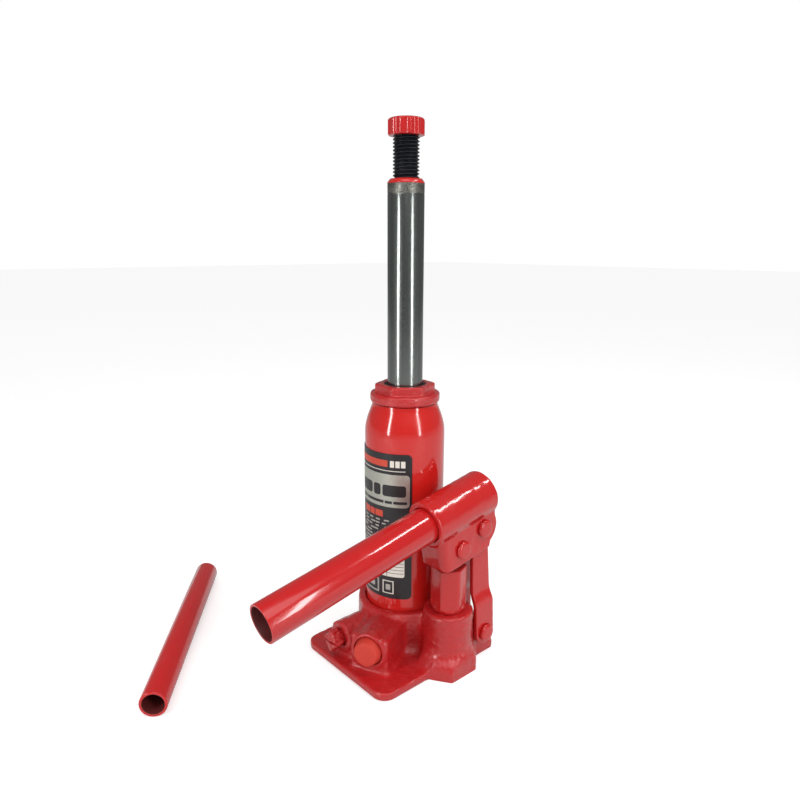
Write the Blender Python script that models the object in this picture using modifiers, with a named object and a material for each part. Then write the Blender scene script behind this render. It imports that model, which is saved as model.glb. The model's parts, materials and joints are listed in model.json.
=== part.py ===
"""Hydraulic bottle jack with a two-piece tube handle.

Frame: +Z up, origin on the ram's axis at the underside of the base. The
linkage and the handle lie in a plane parallel to XZ on the -Y side, the
handle's free end points to -X. Dimensions below are in millimetres.
"""

import math

import bmesh
import bpy
from mathutils import Matrix, Vector

MM = 0.001
GAP = 0.3                      # clearance between neighbouring pieces
SHEET = 2.5                    # pressed sheet of the handle socket

# screw, ram, cylinder and tank, from the middle outwards
SCREW_R = 7.8                  # M16 x 2, plain at its crests
SCREW_BORE_R = SCREW_R + GAP
RAM_WALL = 2.9
RAM_R = SCREW_BORE_R + RAM_WALL
PISTON_STEP = 3.2              # how far the piston stands out from the ram
PISTON_R = RAM_R + PISTON_STEP
CYLINDER_WALL = 3.0
CYLINDER_R = PISTON_R + GAP + CYLINDER_WALL
OIL_SPACE = 5.9                # between the cylinder and the tank
TANK_WALL = 2.0
TANK_R = CYLINDER_R + OIL_SPACE + TANK_WALL
MID_OIL = CYLINDER_R + OIL_SPACE / 2

# heights of the ram and of what closes the tank
FLOOR_Z = 24.0                 # floor of the oil tank
PISTON_TOP = 148.5             # at full lift, the rest pose
CYLINDER_Z = (19.2, PISTON_TOP + 1.2)
NUT_BODY_Z = CYLINDER_Z[1] + GAP
NUT_FLANGE_Z = (NUT_BODY_Z + 14.0, NUT_BODY_Z + 20.3)
NUT_TOP = NUT_FLANGE_Z[1] + 5.2
NUT_FLANGE_R = TANK_R - 3.4
NUT_HEX_R = TANK_R - 5.8
LABEL_Z = (39.5, NUT_FLANGE_Z[0] - 28.0)
FILLER_Z = NUT_FLANGE_Z[0] - 46.0
RAM_LENGTH = 149.0
RAM_TOP = PISTON_TOP + RAM_LENGTH
SCREW_Z = (RAM_TOP - 51.0, RAM_TOP + 24.0)
SADDLE_R = SCREW_R + 3.1
SADDLE_H = 9.5
SADDLE_LOBES = 12

# pins, pump, link and handle, all centred on the plane y = LINK_Y
PIN_R = 3.5
PIN_HEAD_R = PIN_R + 2.1
PIN_HEAD_H = 2.4
HANDLE_R = 10.7
HANDLE_WALL = 1.5
HANDLE_TILT = 10.45            # degrees, free end down
HANDLE_U = (-148.2, -8.0)
SOCKET_R = HANDLE_R + GAP + 3.1
SOCKET_U = (-37.2, 12.3)       # along the handle, from the link's upper pin
HANDLE_W = SOCKET_R + 2.5      # height of the handle's axis over that pin
LINK_Y = -(TANK_R + SOCKET_R + 4.1)
PUMP_X = -1.7
PLUNGER_R = 5.9
PUMP_SPIGOT_R = PLUNGER_R + GAP + 2.4
PUMP_HEX_R = PUMP_SPIGOT_R + 2.9
PUMP_HEX_Z = (41.5, 68.0)
PUMP_BOSS_R = PUMP_SPIGOT_R + GAP + 6.7
PUMP_BOSS_TOP = 39.5
PUMP_PIN = (PUMP_X + 0.2, 82.0)                      # x, z of the plunger's pin
SLOT_REACH = 1.5               # free play of the pin in the plunger's eye
LINK_FOOT = (PUMP_X + PUMP_BOSS_R + 7.6, 17.5)       # x, z of the link's lower pin
LINK_HEAD = (LINK_FOOT[0] - 4.5, 90.5)               # x, z of the link's upper pin
LINK_PLATE = 3.0
LINK_HALF = 8.0
LUG_HALF = 8.0
CHEEK_OUT = SOCKET_R - 3.0
CHEEK_IN = CHEEK_OUT - SHEET

# base casting
PLATE_X = (-TANK_R - 34.1, LINK_FOOT[0] + 12.0)
PLATE_Y = (LINK_Y - 5.4, TANK_R + 6.6)
PLATE_H = 5.0
PLATE_CORNER = 9.0
COLLAR_R = TANK_R + 5.1
COLLAR_TOP = 31.0

# loose extension of the handle
LOOSE_R = 8.0
LOOSE_WALL = 1.7
LOOSE_NEAR = (-162.4, 29.1)
LOOSE_LENGTH = 155.5
LOOSE_HEADING = 53.9

# valves
CAP_HEADING = 205.0            # degrees about Z, direction of the relief valve's bore
CAP_Z = 18.5
CAP_R = 8.9
CAP_TIP_R = 7.7
CAP_PAD = TANK_R + 29.1        # distance of the pad's face from the ram's axis
RELIEF_SEAT = TANK_R + 3.6     # distance of the relief valve's seat from that axis
RELEASE_Y = 2.5
RELEASE_Z = 17.0
RELEASE_PAD = -TANK_R - 26.6

RED = (0.60, 0.012, 0.014, 1)
MATERIALS = {
    "red_paint": (RED, 0.28, 0.0),
    "bare_steel": ((0.42, 0.43, 0.43, 1), 0.25, 1.0),
    "dark_steel": ((0.03, 0.033, 0.04, 1), 0.45, 1.0),
    "ball_steel": ((0.6, 0.6, 0.6, 1), 0.12, 1.0),
    "spring_steel": ((0.25, 0.25, 0.26, 1), 0.35, 1.0),
    "seal_rubber": ((0.02, 0.02, 0.02, 1), 0.7, 0.0),
    "orange_plastic": ((0.75, 0.05, 0.025, 1), 0.6, 0.0),
    "copper_washer": ((0.65, 0.3, 0.15, 1), 0.35, 1.0),
    "label_film": ((0.08, 0.08, 0.085, 1), 0.35, 0.0),
}


for old in list(bpy.data.objects):
    bpy.data.objects.remove(old, do_unlink=True)
jack = bpy.data.collections.new("bottle_jack")
tools = bpy.data.collections.new("cutters")
for group in (jack, tools):
    bpy.context.scene.collection.children.link(group)


def material(name):
    found = bpy.data.materials.get(name)
    if found:
        return found
    colour, rough, metal = MATERIALS[name]
    made = bpy.data.materials.new(name)
    made.use_nodes = True
    shader = made.node_tree.nodes["Principled BSDF"]
    shader.inputs["Base Color"].default_value = colour
    shader.inputs["Roughness"].default_value = rough
    shader.inputs["Metallic"].default_value = metal
    return made


def add(name, mesh, look=None):
    """Link a mesh as a part, or as a cutter when it has no look."""
    obj = bpy.data.objects.new(name, mesh)
    if look:
        jack.objects.link(obj)
        mesh.materials.append(material(look))
    else:
        tools.objects.link(obj)
        obj.hide_render = True
        obj.display_type = "WIRE"
    return obj


def smooth(obj, angle=30):
    obj.data.shade_smooth()
    obj.data.set_sharp_from_angle(angle=math.radians(angle))
    return obj


def place(obj, at=(0, 0, 0), turn=(0, 0, 0), parent=None):
    """Position in millimetres and rotation in degrees."""
    obj.location = Vector(at) * MM
    obj.rotation_euler = [math.radians(a) for a in turn]
    obj.parent = parent
    return obj


def empty(name, at, turn=(0, 0, 0)):
    obj = bpy.data.objects.new(name, None)
    jack.objects.link(obj)
    return place(obj, at, turn)


def turned(name, profile, look=None, steps=36, closed=False):
    """Solid of revolution about Z; the profile runs down its outer side.

    A closed profile is a ring, an open one starts and ends on the axis.
    """
    mesh = bpy.data.meshes.new(name)
    points = [(r * MM, 0, z * MM) for r, z in profile]
    edges = [(i, i + 1) for i in range(len(points) - 1)]
    if closed:
        edges.append((len(points) - 1, 0))
    mesh.from_pydata(points, edges, [])
    obj = add(name, mesh, look)
    screw = obj.modifiers.new("turn", "SCREW")
    screw.steps = steps
    screw.render_steps = steps
    screw.use_merge_vertices = True
    screw.merge_threshold = 0.00002
    screw.use_smooth_shade = False
    screw.use_normal_calculate = False
    return obj


def ring(name, inner, outer, low, high, look, steps=24, edge=0.0):
    """Ring with an optional small chamfer on its outer edges."""
    profile = [(inner, high), (outer - edge, high)]
    if edge:
        profile += [(outer, high - edge), (outer, low + edge)]
    profile += [(outer - edge, low), (inner, low)]
    return turned(name, profile, look, steps, closed=True)


def cylinder(name, radius, low, high, look=None, steps=24):
    return turned(name, [(0, high), (radius, high), (radius, low), (0, low)], look, steps)


def drill(name, start, end, radius, steps=16):
    """Cutter: a round bar between two points in millimetres."""
    start, end = Vector(start), Vector(end)
    along = end - start
    obj = cylinder(name, radius, 0, along.length, steps=steps)
    obj.location = start * MM
    obj.rotation_euler = along.to_track_quat("Z", "Y").to_euler()
    return obj


def outline_mesh(name, loop, half):
    """Mesh of a flat outline (x, y) with the given half thickness along Z."""
    curve = bpy.data.curves.new(name, "CURVE")
    curve.dimensions = "2D"
    curve.fill_mode = "BOTH"
    curve.extrude = half * MM
    spline = curve.splines.new("POLY")
    spline.points.add(len(loop) - 1)
    for point, (x, y) in zip(spline.points, loop):
        point.co = (x * MM, y * MM, 0, 1)
    spline.use_cyclic_u = True
    source = bpy.data.objects.new(name, curve)
    tools.objects.link(source)
    graph = bpy.context.evaluated_depsgraph_get()
    mesh = bpy.data.meshes.new_from_object(source.evaluated_get(graph))
    bpy.data.objects.remove(source)
    work = bmesh.new()
    work.from_mesh(mesh)
    bmesh.ops.remove_doubles(work, verts=work.verts, dist=0.00002)
    bmesh.ops.recalc_face_normals(work, faces=work.faces)
    work.to_mesh(mesh)
    work.free()
    return mesh


def slab(name, loop, low, high, look=None):
    """Outline in XY between two heights."""
    mesh = outline_mesh(name, loop, (high - low) / 2)
    mesh.transform(Matrix.Translation((0, 0, (high + low) / 2 * MM)))
    return add(name, mesh, look)


def side_slab(name, loop, low, high, look=None):
    """Outline given as (x, z), between two values of y."""
    mesh = outline_mesh(name, loop, (high - low) / 2)
    mesh.transform(Matrix.Rotation(math.radians(90), 4, "X"))
    mesh.transform(Matrix.Translation((0, (high + low) / 2 * MM, 0)))
    return add(name, mesh, look)


def box(name, low, high, look=None):
    mesh = bpy.data.meshes.new(name)
    work = bmesh.new()
    bmesh.ops.create_cube(work, size=1)
    size = [(b - a) * MM for a, b in zip(low, high)]
    centre = [(a + b) / 2 * MM for a, b in zip(low, high)]
    bmesh.ops.scale(work, vec=size, verts=work.verts)
    bmesh.ops.translate(work, vec=centre, verts=work.verts)
    work.to_mesh(mesh)
    work.free()
    return add(name, mesh, look)


def ball(name, radius, at, parent=None):
    mesh = bpy.data.meshes.new(name)
    work = bmesh.new()
    bmesh.ops.create_uvsphere(work, u_segments=12, v_segments=7, radius=radius * MM)
    work.to_mesh(mesh)
    work.free()
    return smooth(place(add(name, mesh, "ball_steel"), at, parent=parent))


def spring(name, radius, wire, turns, length, at, turn=(0, 0, 0)):
    """Round wire coil standing on its local Z axis."""
    curve = bpy.data.curves.new(name, "CURVE")
    curve.dimensions = "3D"
    curve.bevel_depth = wire / 2 * MM
    curve.bevel_resolution = 1
    curve.use_fill_caps = True
    count = int(turns * 8) + 1
    spline = curve.splines.new("POLY")
    spline.points.add(count - 1)
    for i, point in enumerate(spline.points):
        part = i / (count - 1)
        angle = 2 * math.pi * turns * part
        point.co = (radius * math.cos(angle) * MM, radius * math.sin(angle) * MM,
                    (wire / 2 + part * (length - wire)) * MM, 1)
    obj = bpy.data.objects.new(name, curve)
    jack.objects.link(obj)
    curve.materials.append(material("spring_steel"))
    return place(obj, at, turn)


def boolean(obj, operation, *others):
    for other in others:
        step = obj.modifiers.new(other.name, "BOOLEAN")
        step.operation = operation
        step.solver = "EXACT"
        step.object = other
    return obj


def bevel(obj, width, segments=2, angle=40):
    step = obj.modifiers.new("edge", "BEVEL")
    step.width = width * MM
    step.segments = segments
    step.limit_method = "ANGLE"
    step.angle_limit = math.radians(angle)
    return obj


def arc(centre, radius, start, end, count):
    """Points on an arc, angles in degrees."""
    points = []
    for i in range(count + 1):
        a = math.radians(start + (end - start) * i / count)
        points.append((centre[0] + radius * math.cos(a), centre[1] + radius * math.sin(a)))
    return points


def rounded_box(x, y, radius, count=5):
    (x0, x1), (y0, y1) = x, y
    corners = (((x1 - radius, y1 - radius), 0), ((x0 + radius, y1 - radius), 90),
               ((x0 + radius, y0 + radius), 180), ((x1 - radius, y0 + radius), 270))
    return [p for c, a in corners for p in arc(c, radius, a, a + 90, count)]


def heading(distance, angle, z):
    a = math.radians(angle)
    return (distance * math.cos(a), distance * math.sin(a), z)


# ---------------------------------------------------------------- base casting

def make_base():
    right, back = PLATE_X[1], PLATE_Y[1]
    lug_face = LINK_Y - LUG_HALF
    corner = PLATE_CORNER
    plan = arc((right - corner, back - corner), corner, 0, 90, 5)
    plan += arc((PLATE_X[0] + corner, back - corner), corner, 90, 180, 5)
    plan += arc((PLATE_X[0] + corner, PLATE_Y[0] + corner), corner, 180, 270, 5)
    front = LINK_Y - 17.6
    plan += [(PUMP_X - 20.8, PLATE_Y[0]), (PUMP_X - 12.8, front), (PUMP_X + 8.2, front),
             (PUMP_X + 18.2, lug_face)]
    plan += arc((right - 2, lug_face + 2), 2, 270, 360, 2)
    base = bevel(slab("base_casting", plan, 0, PLATE_H, "red_paint"), 1.2, 2, 60)

    skirt = turned("skirt_form", [(0, COLLAR_TOP), (COLLAR_R - 1.8, COLLAR_TOP), (COLLAR_R, COLLAR_TOP - 1.8),
                                  (COLLAR_R, 14), (COLLAR_R + 1.2, 9), (COLLAR_R + 3.2, PLATE_H - 1),
                                  (COLLAR_R + 3.2, 1.1), (0, 1.1)])
    pad = place(box("relief_pad_form", (5, -12.5, 1.6), (CAP_PAD, 12.5, 28)), turn=(0, 0, CAP_HEADING))
    bevel(pad, 3.0, 2)
    relief_boss = drill("relief_boss_form", heading(RELIEF_SEAT + 1, CAP_HEADING, CAP_Z),
                        heading(CAP_PAD + 0.8, CAP_HEADING, CAP_Z), 11.8, 24)
    release_boss = drill("release_boss_form", (-5, RELEASE_Y, RELEASE_Z),
                         (RELEASE_PAD, RELEASE_Y, RELEASE_Z), 10, 24)
    bevel(release_boss, 1.5, 2, 60)
    release_foot = box("release_foot_form", (RELEASE_PAD + 1.5, RELEASE_Y - 9.6, 1.4),
                       (-6, RELEASE_Y + 9.6, RELEASE_Z))
    pump_boss = cylinder("pump_boss_form", PUMP_BOSS_R, 1.8, PUMP_BOSS_TOP, steps=28)
    bevel(place(pump_boss, (PUMP_X, LINK_Y, 0)), 2.0, 2, 60)
    foot_loop = [(-18.8, 5.3), (-18.8, -6.4), (-11.8, -17.0), (7.3, -17.0), (14.5, -10.6), (14.5, 5.3)]
    foot_loop = [(PUMP_X + x, LINK_Y + y) for x, y in foot_loop]
    pump_foot = slab("pump_foot_form", foot_loop, 2.1, 8)
    web = box("pump_web_form", (PUMP_X - 9, LINK_Y, 2.3), (PUMP_X + 9, -15, 27))
    lug_top = arc(LINK_FOOT, 8.3, 0, 180, 8)
    lug_loop = [(right - 0.7, 0.8), (right - 0.7, 8)] + lug_top + [(LINK_FOOT[0] - 8.3, 0.8)]
    lug = side_slab("link_lug_form", lug_loop, lug_face + 0.2, LINK_Y + LUG_HALF)
    boolean(base, "UNION", skirt, pad, relief_boss, release_boss, release_foot,
            web, pump_boss, pump_foot, lug)

    tank_seat = cylinder("tank_seat_cut", TANK_R + GAP, FLOOR_Z, COLLAR_TOP + 12, steps=36)
    cylinder_seat = cylinder("cylinder_seat_cut", CYLINDER_R + GAP, 17.5, FLOOR_Z + 5, steps=30)
    delivery_well = cylinder("delivery_well_cut", 3.6, 8.5, 19, steps=14)
    pump_well = cylinder("pump_well_cut", PUMP_SPIGOT_R + GAP, 20, PUMP_BOSS_TOP + 9, steps=26)
    suction_well = cylinder("suction_well_cut", 3.1, 14.5, 22, steps=14)
    place(pump_well, (PUMP_X, LINK_Y, 0), (0, 0, 3))
    place(suction_well, (PUMP_X, LINK_Y, 0), (0, 0, 5))
    suction_drop = drill("suction_drop_cut", (PUMP_X, LINK_Y, 16), (PUMP_X, LINK_Y, 11.5), 1.3, 9)
    suction_run = drill("suction_run_cut", (PUMP_X, LINK_Y - 1.8, 12), (PUMP_X, -MID_OIL + 1.5, 12), 1.6, 10)
    suction_rise = drill("suction_rise_cut", (PUMP_X, -MID_OIL, 11.2), (PUMP_X, -MID_OIL, 26), 1.4, 9)
    delivery_drop = drill("delivery_drop_cut", (PUMP_X + 6, LINK_Y, 22), (PUMP_X + 6, LINK_Y, 6), 1.3, 9)
    delivery_run = drill("delivery_run_cut", (PUMP_X + 6, LINK_Y - 1.9, 6.6), (-0.2, 2.6, 6.6), 1.6, 10)
    delivery_rise = drill("delivery_rise_cut", (0, 0, 6.4), (0, 0, 9.4), 1.3, 9)
    relief_cup = drill("relief_cup_cut", heading(CAP_PAD - 4, CAP_HEADING, CAP_Z),
                       heading(CAP_PAD + 9, CAP_HEADING, CAP_Z), CAP_R + GAP, 24)
    relief_bore = drill("relief_bore_cut", heading(RELIEF_SEAT - 1.5, CAP_HEADING, CAP_Z),
                        heading(CAP_PAD, CAP_HEADING, CAP_Z), 4.4, 14)
    relief_seat = drill("relief_seat_cut", heading(RELIEF_SEAT, CAP_HEADING, CAP_Z), (0, 0, 10.6), 1.2, 8)
    relief_back = drill("relief_return_cut", heading(RELIEF_SEAT + 3, CAP_HEADING, CAP_Z),
                        heading(MID_OIL, CAP_HEADING, 25), 1.2, 8)
    release_bore = drill("release_bore_cut", (RELEASE_PAD + 21.4, RELEASE_Y, RELEASE_Z),
                         (RELEASE_PAD - 8, RELEASE_Y, RELEASE_Z), 5.3, 20)
    release_chamber = drill("release_chamber_cut", (RELEASE_PAD + 26.8, RELEASE_Y, RELEASE_Z),
                            (RELEASE_PAD + 19, RELEASE_Y, RELEASE_Z), 3.3, 14)
    release_seat = drill("release_seat_cut", (RELEASE_PAD + 24, RELEASE_Y, RELEASE_Z), (0, 0, 11.2), 1.3, 8)
    release_back = drill("release_return_cut", (RELEASE_PAD + 22.4, RELEASE_Y, RELEASE_Z),
                         (-MID_OIL, RELEASE_Y, 25), 1.3, 8)
    pin_hole = drill("lug_pin_cut", (LINK_FOOT[0], LINK_Y - 20, LINK_FOOT[1]),
                     (LINK_FOOT[0], LINK_Y + 20, LINK_FOOT[1]), PIN_R + GAP, 20)
    boolean(base, "DIFFERENCE", tank_seat, cylinder_seat, delivery_well, pump_well, suction_well,
            suction_drop, suction_run, suction_rise, delivery_drop, delivery_run, delivery_rise,
            relief_cup, relief_bore, relief_seat, relief_back, release_bore, release_chamber,
            release_seat, release_back, pin_hole)
    return base


# ------------------------------------------------------------ tank and cylinder

def make_tank():
    neck = NUT_FLANGE_Z[0]
    shoulder = [(0, 19), (0.3, 15.5), (0.9, 12.5), (1.9, 9), (3.5, 4.8), (4.6, 2), (4.8, GAP)]
    shoulder = [(TANK_R - inward, neck - below) for inward, below in shoulder]
    outside = shoulder[::-1] + [(TANK_R, FLOOR_Z + 1.4)]
    inside = [(r - TANK_WALL, z) for r, z in shoulder[:-2]]
    inside += [(TANK_R - 6.2, neck - 2), (TANK_R - 6.4, neck - GAP)]
    inside[1:-2] = [(r - 0.2, z) for r, z in inside[1:-2]]
    profile = outside + [(TANK_R - TANK_WALL, FLOOR_Z + 1.4)] + inside
    smooth(turned("reservoir_tube", profile, "red_paint", closed=True))
    ring("reservoir_bottom_seal", TANK_R - TANK_WALL, TANK_R, FLOOR_Z + GAP, FLOOR_Z + 1.1, "seal_rubber")
    bore = PISTON_R + GAP
    ring("ram_cylinder", bore, CYLINDER_R, *CYLINDER_Z, "bare_steel")
    ring("cylinder_bottom_gasket", 4.5, CYLINDER_R, 17.8, CYLINDER_Z[0] - GAP, "copper_washer")

    bore = RAM_R + GAP
    low, high = NUT_FLANGE_Z
    body = TANK_R - 6.7
    gland = (NUT_BODY_Z + 6.0, NUT_BODY_Z + 9.4)
    profile = [(bore, high + 3), (RAM_R + 3, high + 3), (RAM_R + 3, high), (NUT_FLANGE_R - 1.2, high),
               (NUT_FLANGE_R, high - 1.3), (NUT_FLANGE_R, low + 1.6), (NUT_FLANGE_R - 1.6, low),
               (body, low), (body, NUT_BODY_Z + 3), (body - 1.3, NUT_BODY_Z), (bore, NUT_BODY_Z),
               (bore, gland[0]), (bore + 3.2, gland[0]), (bore + 3.2, gland[1]), (bore, gland[1])]
    nut = turned("top_nut", profile, "red_paint", closed=True)
    hexagon = cylinder("nut_hex_form", NUT_HEX_R, high - 0.8, NUT_TOP, steps=6)
    bevel(place(hexagon, turn=(0, 0, 23)), 1.0, 2)
    cup = cylinder("wiper_cut", RAM_R + 2.2, NUT_TOP - 3.6, NUT_TOP + 5, steps=30)
    through = cylinder("nut_bore_cut", bore, high - 2, NUT_TOP + 6, steps=36)
    boolean(nut, "UNION", hexagon)
    boolean(nut, "DIFFERENCE", cup, through)
    ring("ram_wiper_seal", RAM_R + GAP, RAM_R + 1.9, NUT_TOP - 3.3, NUT_TOP - 0.3, "seal_rubber", 36)
    ring("ram_gland_seal", RAM_R + GAP, RAM_R + 3.2, gland[0] + GAP, gland[1] - GAP, "seal_rubber", 36)


def make_label():
    """Film round the tank's -X side, from its lower to its upper edge."""
    inner, outer = TANK_R + GAP, TANK_R + GAP + 0.35
    start, end = 48.75, 238.75
    loop = arc((0, 0), outer, start, end, 19) + arc((0, 0), inner, end, start, 19)
    slab("label", loop, *LABEL_Z, "label_film")


def make_filler_plug():
    at = (TANK_R - 4.0, 0, FILLER_Z)
    hole = drill("filler_cut", (TANK_R - 8, 0, FILLER_Z), (TANK_R + 6, 0, FILLER_Z), 3.6, 20)
    boolean(bpy.data.objects["reservoir_tube"], "DIFFERENCE", hole)
    profile = [(0, 7.4), (5.0, 7.4), (5.8, 6.6), (5.8, 4.7), (3.2, 4.7), (3.2, 0.9), (2.4, 0), (0, 0)]
    smooth(place(turned("filler_plug", profile, "seal_rubber", 24), at, (0, 90, 0)))


# -------------------------------------------------------------- ram and screw

def make_ram():
    pivot = empty("ram_axis", (0, 0, PISTON_TOP))
    up = RAM_TOP - PISTON_TOP
    floor = up - 80
    profile = [(0, floor), (SCREW_BORE_R, floor), (SCREW_BORE_R, up), (RAM_R - 1.4, up), (RAM_R, up - 2.0),
               (RAM_R, up - 7.5), (RAM_R - 0.12, up - 8.0), (RAM_R, up - 8.5), (RAM_R, 0), (PISTON_R, 0),
               (PISTON_R, -4.5), (6.0, -4.5), (6.0, -10.6), (0, -10.6)]
    ram = turned("ram", profile, "bare_steel")
    smooth(place(ram, parent=pivot))
    cup = ring("piston_cup_seal", 6.3, PISTON_R, -8.6, -4.8, "seal_rubber", 30)
    stop = ring("piston_retainer", 6.3, 10.5, -10.4, -8.9, "dark_steel")
    for piece in (cup, stop):
        place(piece, parent=pivot)


def make_screw():
    pivot = empty("screw_axis", (0, 0, SCREW_Z[1]))
    length = SCREW_Z[1] - SCREW_Z[0]
    lobes = []
    count = SADDLE_LOBES * 5
    for i in range(count):
        a = 2 * math.pi * i / count
        r = SADDLE_R - 0.45 + 0.45 * math.cos(SADDLE_LOBES * a)
        lobes.append((r * math.cos(a), r * math.sin(a)))
    screw = slab("extension_screw", lobes, 0, SADDLE_H, "red_paint")
    edge = [(0, SADDLE_H + 1), (SADDLE_R - 0.4, SADDLE_H + 1), (SADDLE_R - 0.4, SADDLE_H),
            (SADDLE_R + 0.2, SADDLE_H - 0.7), (SADDLE_R + 0.2, 1.2), (SADDLE_R - 1.2, -0.4), (0, -0.4)]
    chamfer = turned("saddle_chamfer_form", edge, steps=24)
    stem = [(0, 2), (SCREW_R - 0.6, 2), (SCREW_R - 0.6, -1), (SCREW_R, -1.6), (SCREW_R, -length),
            (SCREW_R - 2.8, -length), (SCREW_R - 2.8, -length - 3.4), (0, -length - 3.4)]
    shank = turned("screw_shank_form", stem, steps=24)
    for form in (chamfer, shank):
        place(form, parent=pivot)
    place(screw, parent=pivot)
    boolean(screw, "INTERSECT", chamfer)
    boolean(screw, "UNION", shank)
    stop = ring("screw_stop_ring", SCREW_R - 2.5, SCREW_R - 0.2, -length - 2.6, -length - GAP,
                "dark_steel", 20)
    place(stop, parent=pivot)


# ------------------------------------------------------------------- hydraulics

def make_pump():
    low, high = PUMP_HEX_Z
    bore = PLUNGER_R + GAP
    pump = cylinder("pump_cylinder", PUMP_HEX_R, low, high, "red_paint", 6)
    place(pump, (PUMP_X, LINK_Y, 0), (0, 0, 20))
    bevel(pump, 0.7, 2)
    spigot = cylinder("pump_spigot_form", PUMP_SPIGOT_R, 21.5, low + 2, steps=24)
    hollow = cylinder("pump_bore_cut", bore, 15, high + 6, steps=28)
    for form in (spigot, hollow):
        place(form, (PUMP_X, LINK_Y, 0))
    boolean(pump, "UNION", spigot)
    boolean(pump, "DIFFERENCE", hollow)
    gasket = ring("pump_cylinder_gasket", bore, PUMP_SPIGOT_R, 20.3, 21.2, "copper_washer", 20)
    place(gasket, (PUMP_X, LINK_Y, 0))
    ball("suction_ball", 2.5, (PUMP_X, LINK_Y, 17.4))

    pivot = empty("plunger_axis", (PUMP_X, LINK_Y, PUMP_PIN[1]))
    groove = PLUNGER_R - 1.6
    rod = turned("pump_plunger", [(0, -5), (PLUNGER_R, -5), (PLUNGER_R, -51.0), (groove, -51.0),
                                  (groove, -54.4), (PLUNGER_R, -54.4), (PLUNGER_R, -57.6), (0, -57.6)],
                 "bare_steel", 28)
    head = rounded_box((-7.5, 7.5), (-6.6, 6.2), 4.5, 4)
    head = side_slab("plunger_head_form", head, 1.6 - CHEEK_IN, CHEEK_IN - 1.6)
    reach = SLOT_REACH
    slot = arc((reach, 0), PIN_R + GAP, -90, 90, 8) + arc((-reach, 0), PIN_R + GAP, 90, 270, 8)
    slot = side_slab("plunger_eye_cut", slot, -12, 12)
    seal = ring("plunger_seal", groove + GAP, PLUNGER_R, -54.1, -51.3, "seal_rubber", 28)
    for piece in (rod, head, slot, seal):
        place(piece, parent=pivot)
    boolean(rod, "UNION", head)
    boolean(rod, "DIFFERENCE", slot)


def make_valves():
    ball("delivery_ball", 3.0, (0, 0, 11.6))
    spring("delivery_spring", 2.4, 0.7, 3.0, 3.6, (0, 0, 15.0))

    turn = (0, 90, CAP_HEADING)
    ball("relief_valve_ball", 2.2, heading(RELIEF_SEAT + 1, CAP_HEADING, CAP_Z))
    coil_foot = heading(RELIEF_SEAT + 3.6, CAP_HEADING, CAP_Z)
    spring("relief_valve_spring", 3.0, 1.0, 4.0, 8.0, coil_foot, turn)
    adjuster = cylinder("relief_valve_screw", 4.1, 0, 8.4, "dark_steel", 24)
    place(adjuster, heading(RELIEF_SEAT + 12, CAP_HEADING, CAP_Z), turn)
    slot = place(box("adjuster_slot_cut", (-6, -0.6, 6.8), (6, 0.6, 12)), adjuster.location / MM, turn)
    boolean(adjuster, "DIFFERENCE", slot)
    cap_profile = [(0, 5.2), (CAP_TIP_R - 0.8, 5.2), (CAP_TIP_R, 4.4), (CAP_R, 0), (CAP_R, -2.8),
                   (CAP_R - 1.2, -3.4), (CAP_R - 2.6, -3.4), (CAP_R - 2.6, 2.4), (0, 2.4)]
    cap = turned("relief_valve_cap", cap_profile, "orange_plastic", 24)
    smooth(place(cap, heading(CAP_PAD, CAP_HEADING, CAP_Z), turn))

    pivot = empty("release_axis", (RELEASE_PAD, RELEASE_Y, RELEASE_Z), (0, -90, 0))
    profile = [(0, 8.0), (4.6, 8.0), (5.2, 7.4), (5.2, 1.0), (5.0, 0.3), (5.0, -9.0), (3.8, -9.0),
               (3.8, -11.6), (5.0, -11.6), (5.0, -18.5), (2.9, -20.6), (2.9, -21.0), (0, -21.0)]
    valve = turned("release_valve_screw", profile, "red_paint", 20)
    wings = [box("release_wing_%d" % i, (-7.0, -1.6, 1.4), (7.0, 1.6, 8.0)) for i in range(2)]
    place(wings[0], parent=pivot)
    place(wings[1], turn=(0, 0, 90), parent=pivot)
    place(valve, parent=pivot)
    boolean(valve, "UNION", *wings)
    seal = ring("release_valve_seal", 4.1, 5.0, -11.3, -9.3, "seal_rubber", 20)
    place(seal, parent=pivot)
    ball("release_ball", 2.5, (0, 0, -23.0 - 0.8), pivot)


def make_filter():
    """Strainer disc over the suction passage, between cylinder and tank."""
    low = FLOOR_Z + GAP
    profile = [(0, low + 2.2), (1.9, low + 2.2), (2.3, low + 1.8), (2.3, low), (0, low)]
    place(turned("suction_filter", profile, "spring_steel", 16), (PUMP_X, -MID_OIL, 0))


# ------------------------------------------------------------ link and handle

def pin(name, x, z, half, parent=None):
    """Headed pin along Y; half is the distance from its middle to each head."""
    top = half + PIN_HEAD_H
    profile = [(0, top), (PIN_HEAD_R - 1.6, top), (PIN_HEAD_R, top - 1.2), (PIN_HEAD_R, half), (PIN_R, half)]
    profile += [(r, -h) for r, h in reversed(profile)]
    obj = turned(name, profile, "red_paint", 20)
    return smooth(place(obj, (x, LINK_Y, z), (90, 0, 0), parent))


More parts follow.
